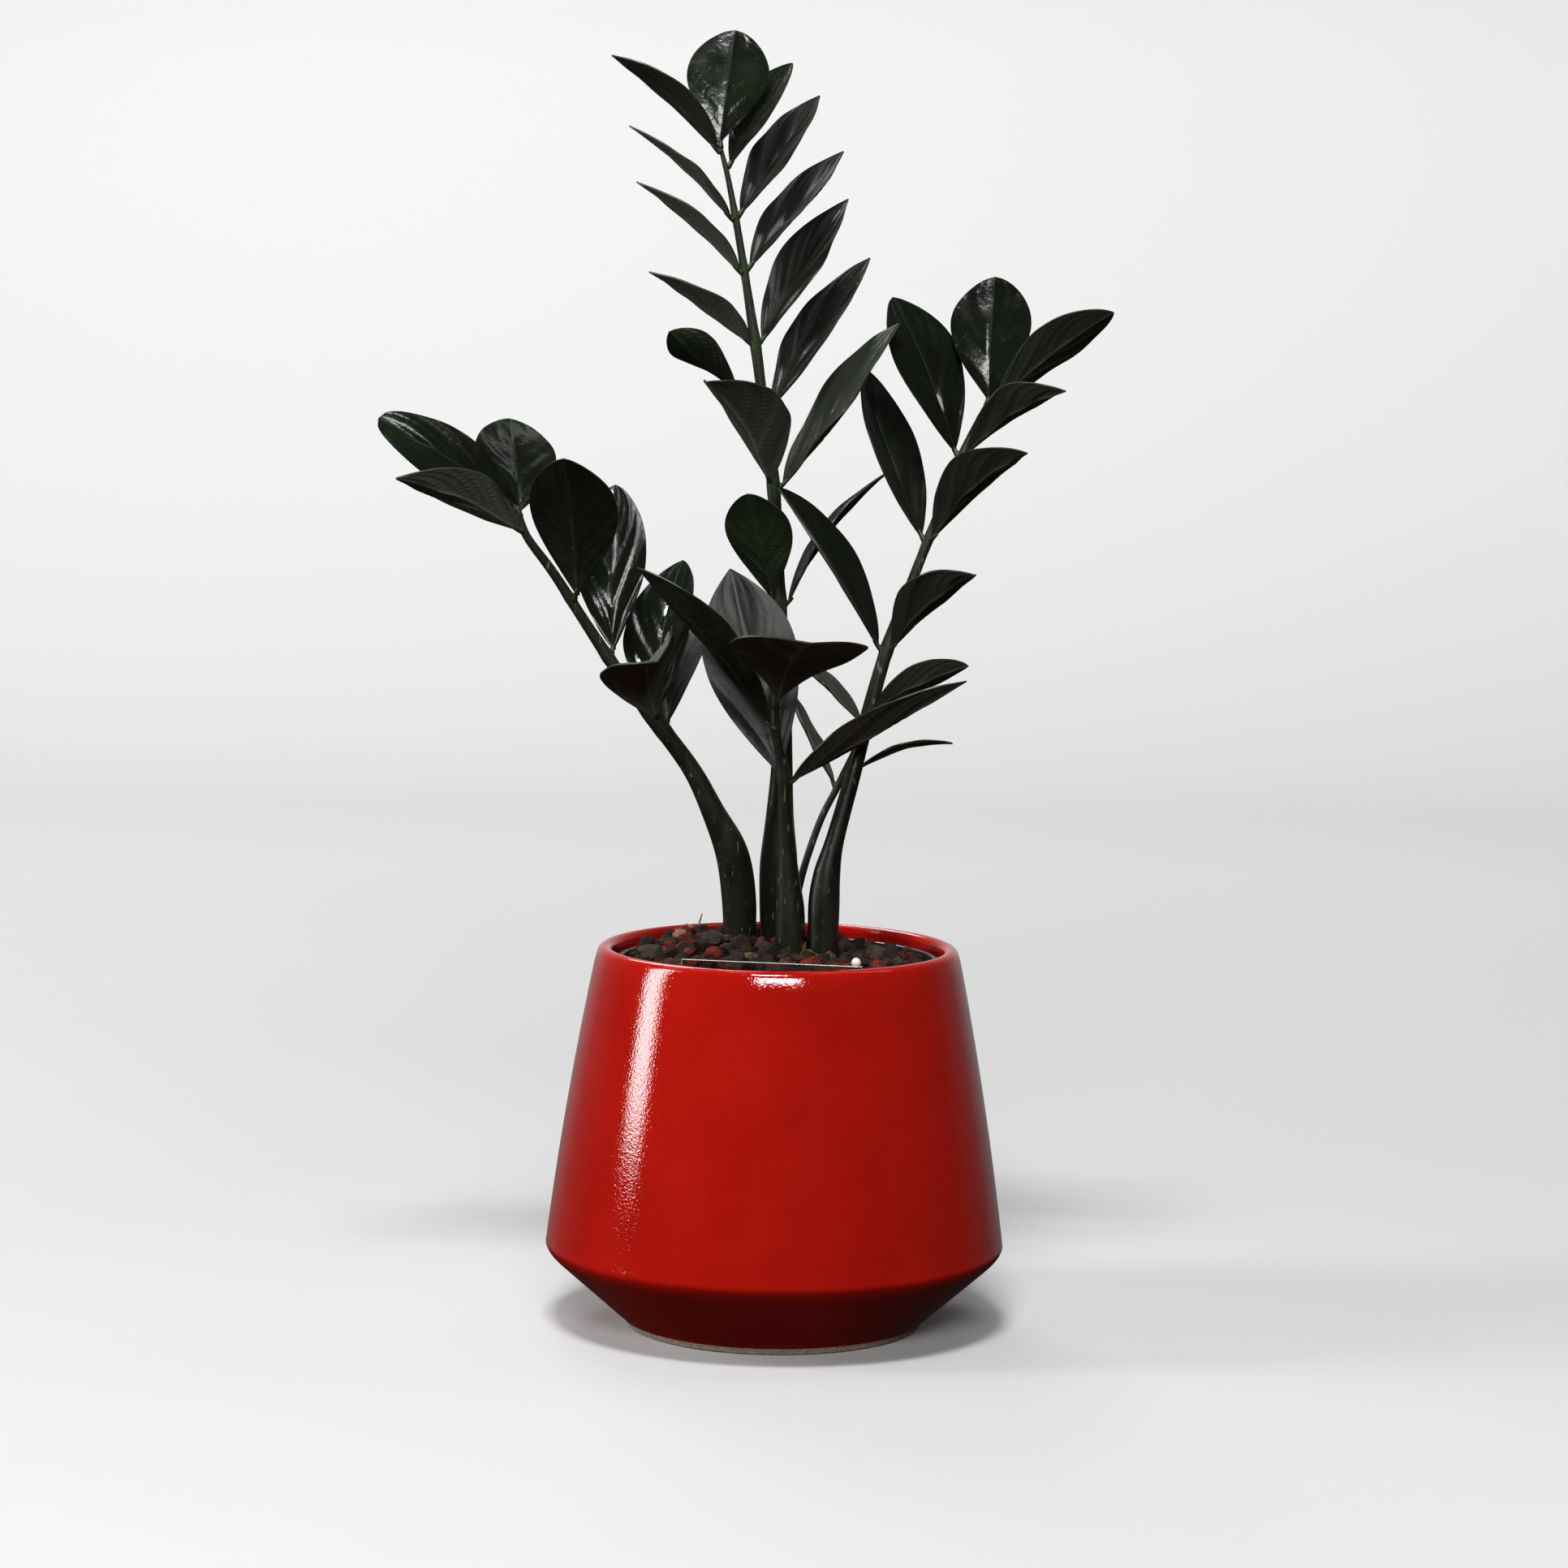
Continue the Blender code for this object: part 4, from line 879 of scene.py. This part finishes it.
twigs = []
for route in ([(-34.5, 60, 0), (-35, 61.5, 2.5), (-34.4, 62.2, 4.5), (-33.9, 62.5, 6.5)],
              [(-38, 54, 1), (-40.5, 57, 1.8), (-41, 60, 1.2)],
              [(-8, -12, 1), (-4, -14, 2.0), (0, -15, 1.6), (4, -15.5, 1.2)]):
    low = restAt(route[0][0] * mm, route[0][1] * mm)
    thin = [litterSizes["twig"] * (1 - 0.2 * k) for k in range(len(route))]
    points = smooth([(x * mm, y * mm, low + z * mm, r) for (x, y, z), r in zip(route, thin)], 4)
    twigs.append(tube(points, 2, "twig"))
finishPiece(joinPieces(twigs), "rootTwigs", (), None, [driedScale()])


def paperScale(x, y, radius, angle, wide, high, lean):  # a curved flap standing against a stem
    deselect()
    bpy.ops.mesh.primitive_grid_add(x_subdivisions=10, y_subdivisions=10, size=2)
    obj = bpy.context.object
    low = gravelLevel + 1.0 * mm
    for v in obj.data.vertices:
        a, t = v.co.x, (v.co.y + 1) / 2
        ang = math.radians(angle + a * wide * (1 - 0.75 * t ** 2) * 0.5)
        r = (radius + 0.35 + lean * t * t + 0.35 * abs(a) * t + 0.25 * noise.noise(Vector((a * 2, t * 3, x)))) * mm
        v.co = (x * mm + r * math.cos(ang), y * mm + r * math.sin(ang), low + high * mm * t * (1 - 0.18 * a * a))
    obj.data.update()
    skin = obj.modifiers.new("thickness", "SOLIDIFY")
    skin.thickness = litterSizes["scale"]
    skin.offset = 1.0
    return applyAll(obj)


flaps = [paperScale(19.8, 14, 6.3, -140, 95, 4.5, 1.2), paperScale(19.8, 14, 6.3, -70, 80, 4.0, 0.6),
         paperScale(5.2, 16, 6.2, -25, 50, 7, 0.8), paperScale(-17, 41, 7.0, -120, 70, 5, 0.8),
         paperScale(0, 42, 7.6, 100, 80, 7, 1.2)]
finishPiece(joinPieces(flaps), "paperyScales", (), 50, [driedScale()])
print("litter done")

# Label: blank clear strip, pushed edge down into the gravel
labelLooks = {"clear": "#F7F5F2", "clearDeep": "#E9E6E2", "frost": "#F2F0EC", "frostDeep": "#CFCBC6"}


def clearLabel():
    # Extruded clear acrylic: almost invisible face with tiny sparkles from fine scratches.
    mat, tree, shader, spot = startMaterial("extrudedClearLabel", IOR=1.49, Roughness=0.04)
    shader.inputs["Transmission Weight"].default_value = 1.0
    tone = addNode(tree, "TexNoise", {"Vector": spot, "Scale": 1 / 0.004})
    addNode(tree, "ValToRGB", {"Fac": tone}, [(0.3, labelLooks["clearDeep"]), (0.7, labelLooks["clear"])],
            shader.inputs["Base Color"])
    tall = addNode(tree, "Mapping", {"Vector": spot, "Scale": (1, 1, 0.5)})
    scratch = addNode(tree, "TexNoise", {"Vector": tall, "Scale": 1 / 0.0012, "Detail": 3})
    addNode(tree, "Bump", {"Height": scratch, "Distance": 0.00010}, into=shader.inputs["Normal"])
    return mat


def sawnEdge():
    # Cut edge of the strip: frosted and bright, because it gathers the light from inside.
    mat, tree, shader, spot = startMaterial("sawnLabelEdge", IOR=1.49, Roughness=0.3)
    shader.inputs["Transmission Weight"].default_value = 0.25
    tone = addNode(tree, "TexNoise", {"Vector": spot, "Scale": 1 / 0.002})
    addNode(tree, "ValToRGB", {"Fac": tone}, [(0.3, labelLooks["frostDeep"]), (0.7, labelLooks["frost"])],
            shader.inputs["Base Color"])
    return mat


low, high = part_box("label")
deselect()
bpy.ops.mesh.primitive_cube_add(size=1, location=(low + high) / 2)
label = bpy.context.object
label.scale = (labelSizes["length"], labelSizes["thick"], high.z - low.z)
bpy.ops.object.transform_apply(location=False, rotation=False, scale=True)
label.rotation_euler = (0, 0, math.radians(labelSizes["turn"]))
bpy.ops.object.transform_apply(location=True, rotation=True, scale=False)
edge = label.modifiers.new("edge", "BEVEL")
edge.width = 0.0003
edge.segments = 3
applyAll(label)
turned = math.radians(-labelSizes["turn"])
faceWay = Vector((math.sin(turned), math.cos(turned), 0))
for face in label.data.polygons:
    face.material_index = 0 if abs(face.normal.dot(faceWay)) > 0.92 else 1
finishPiece(label, "blankLabel", ["label"], 40, [clearLabel(), sawnEdge()])
print("label done")

# Floor, backdrop, light and camera
stageLooks = {"floor": "#DEDEDE", "bounce": "#C9C9C9", "sky": "#ECECEB", "glowReach": 10.0,
              "glow": ((0.04, 0.03), (0.16, 0.30), (0.30, 0.47), (0.42, 0.52), (0.70, 0.85))}
stageSizes = {"wide": 30, "deep": 14.0, "middle": -5.0, "curve": 0.9, "wall": 3.2}
worldLooks = {"front": 0.03, "side": 0.04, "rearSide": 0.16, "rear": 0.42, "back": 0.60,
              "below": (0.018, 0.014, 0.012, 1.0)}


def stageFinish(name, code, bounce, rough):
    # Matt painted board, a shade deeper on the floor, where the light falls straight on it. Its glow with distance
    # is only for the camera, so it doesn't light the plant.
    mat, tree, shader, spot = startMaterial(name, Roughness=rough)
    shader.inputs["Specular IOR Level"].default_value = 0.1
    height = addNode(tree, "SeparateXYZ", {"Vector": spot}).outputs["Z"]
    low = addNode(tree, "MapRange", {"Value": height, "From Min": 0.0, "From Max": 0.7})
    tone = addNode(tree, "Mix", {0: low, 6: linear(bounce), 7: linear(code)}, data_type="RGBA").outputs[2]
    tree.links.new(tone, shader.inputs["Base Color"])
    shader.inputs["Emission Color"].default_value = linear(code)
    out = addNode(tree, "VectorMath", {0: spot}, operation="LENGTH").outputs["Value"]
    far = addNode(tree, "MapRange", {"Value": out, "From Max": stageLooks["glowReach"]})
    share = addNode(tree, "ValToRGB", {"Fac": far}, stageLooks["glow"])
    looked = addNode(tree, "LightPath").outputs["Is Camera Ray"]
    addNode(tree, "Math", {0: looked, 1: share}, into=shader.inputs["Emission Strength"], operation="MULTIPLY")
    return mat


deselect()
bpy.ops.mesh.primitive_plane_add(size=1, location=(0, 0, 0))
sweep = bpy.context.object
bpy.ops.object.mode_set(mode="EDIT")
bpy.ops.mesh.select_all(action="SELECT")
bpy.ops.transform.resize(value=(stageSizes["wide"], stageSizes["deep"], 1))
bpy.ops.transform.translate(value=(0, stageSizes["middle"], 0))
bpy.ops.object.mode_set(mode="OBJECT")
backEdge = stageSizes["middle"] + stageSizes["deep"] / 2 - 0.1
for v in sweep.data.vertices:
    v.select = v.co.y > backEdge
for e in sweep.data.edges:
    e.select = all(sweep.data.vertices[i].select for i in e.vertices)
for f in sweep.data.polygons:
    f.select = False
bpy.ops.object.mode_set(mode="EDIT")
bpy.ops.mesh.select_mode(type="EDGE")
for k in range(12):  # the floor curves up into the wall
    a0, a1 = math.pi / 2 * k / 12, math.pi / 2 * (k + 1) / 12
    step = Vector((0, math.sin(a1) - math.sin(a0), math.cos(a0) - math.cos(a1))) * stageSizes["curve"]
    bpy.ops.mesh.extrude_edges_move(TRANSFORM_OT_translate={"value": step})
bpy.ops.mesh.extrude_edges_move(TRANSFORM_OT_translate={"value": (0, 0, stageSizes["wall"])})
bpy.ops.object.mode_set(mode="OBJECT")
bpy.ops.object.shade_smooth()
sweep.name = "sweepBackdrop"
sweep.data.materials.append(stageFinish("paintedBackdrop", stageLooks["floor"], stageLooks["bounce"], 0.9))
sweep.visible_diffuse = sweep.visible_glossy = False  # the world alone sets what the pot and leaves reflect

lightRig = {
    "window": {"at": (-2.3, -0.30, 1.00), "look": (0, 0, 0.25), "size": (0.54, 1.66), "watts": 36},
    "ceiling": {"at": (-0.15, -1.15, 2.5), "look": (0, 0, 0.15), "size": (0.60, 0.40), "watts": 54},
    "strip": {"at": (0.0, -3.0, 1.78), "look": (0, 0, 0.16), "size": (1.50, 0.50), "watts": 56},
    "wallWash": {"at": (0.0, 0.9, 3.6), "look": (0, 3.2, 1.0), "size": (6.0, 0.8), "watts": 30},
    "rear": {"at": (-0.7, 2.3, 2.3), "look": (0, 0, 0.25), "size": (1.2, 1.0), "watts": 22},
}
for name, rig in lightRig.items():
    lamp = bpy.data.lights.new(name, "AREA")
    lamp.shape = "RECTANGLE"
    lamp.size, lamp.size_y = rig["size"]
    lamp.energy = rig["watts"]
    obj = bpy.data.objects.new(name, lamp)
    bpy.context.scene.collection.objects.link(obj)
    obj.location = rig["at"]
    obj.rotation_euler = (Vector(rig["look"]) - Vector(rig["at"])).to_track_quat("-Z", "Y").to_euler()

world = bpy.data.worlds.new("studio")
bpy.context.scene.world = world
world.use_nodes = True
tree = world.node_tree  # dark in front, bright behind: the pot's sides and the leaves' edges mirror it
tree.nodes.clear()
way = addNode(tree, "SeparateXYZ", {"Vector": addNode(tree, "TexCoord").outputs["Generated"]})
turned = addNode(tree, "MapRange", {"Value": way.outputs["Y"], "From Min": -1.0, "From Max": 1.0})
looks = worldLooks
around = addNode(tree, "ValToRGB", {"Fac": turned}, [(0.0, looks["front"]), (0.66, looks["side"]),
                                                     (0.86, looks["rearSide"]), (0.95, looks["rear"]),
                                                     (1.0, looks["back"])])
above = addNode(tree, "MapRange", {"Value": way.outputs["Z"], "From Min": -0.25, "From Max": 0.02})
lit = addNode(tree, "Mix", {0: above, 6: looks["below"], 7: around}, data_type="RGBA").outputs[2]
room = addNode(tree, "Background", {"Color": lit, "Strength": 1.0})
seen = addNode(tree, "Background", {"Color": linear(stageLooks["sky"]), "Strength": 1.0})
both = addNode(tree, "MixShader", {0: addNode(tree, "LightPath").outputs["Is Camera Ray"], 1: room, 2: seen})
addNode(tree, "OutputWorld", {"Surface": both})

cameraRig = {"at": (-0.0107, -1.904, 0.4413), "lens": 101.65, "yaw": 0.37, "pitch": 6.13, "roll": 0.78}
yaw, pitch, roll = (math.radians(cameraRig[k]) for k in ("yaw", "pitch", "roll"))
flat = Vector((math.sin(yaw), math.cos(yaw), 0))
ahead = flat * math.cos(pitch) - Vector((0, 0, math.sin(pitch)))
right = Vector((math.cos(yaw), -math.sin(yaw), 0))
upward = flat * math.sin(pitch) + Vector((0, 0, math.cos(pitch)))
camRight = right * math.cos(roll) + upward * math.sin(roll)
camUp = upward * math.cos(roll) - right * math.sin(roll)
camData = bpy.data.cameras.new("camera")
camData.lens, camData.sensor_width = cameraRig["lens"], 36
camera = bpy.data.objects.new("camera", camData)
bpy.context.scene.collection.objects.link(camera)
camera.matrix_world = Matrix((
    (camRight.x, camUp.x, -ahead.x, cameraRig["at"][0]), (camRight.y, camUp.y, -ahead.y, cameraRig["at"][1]),
    (camRight.z, camUp.z, -ahead.z, cameraRig["at"][2]), (0, 0, 0, 1)))
bpy.context.scene.camera = camera
bpy.context.scene.view_settings.view_transform = "Standard"
print("stage done")
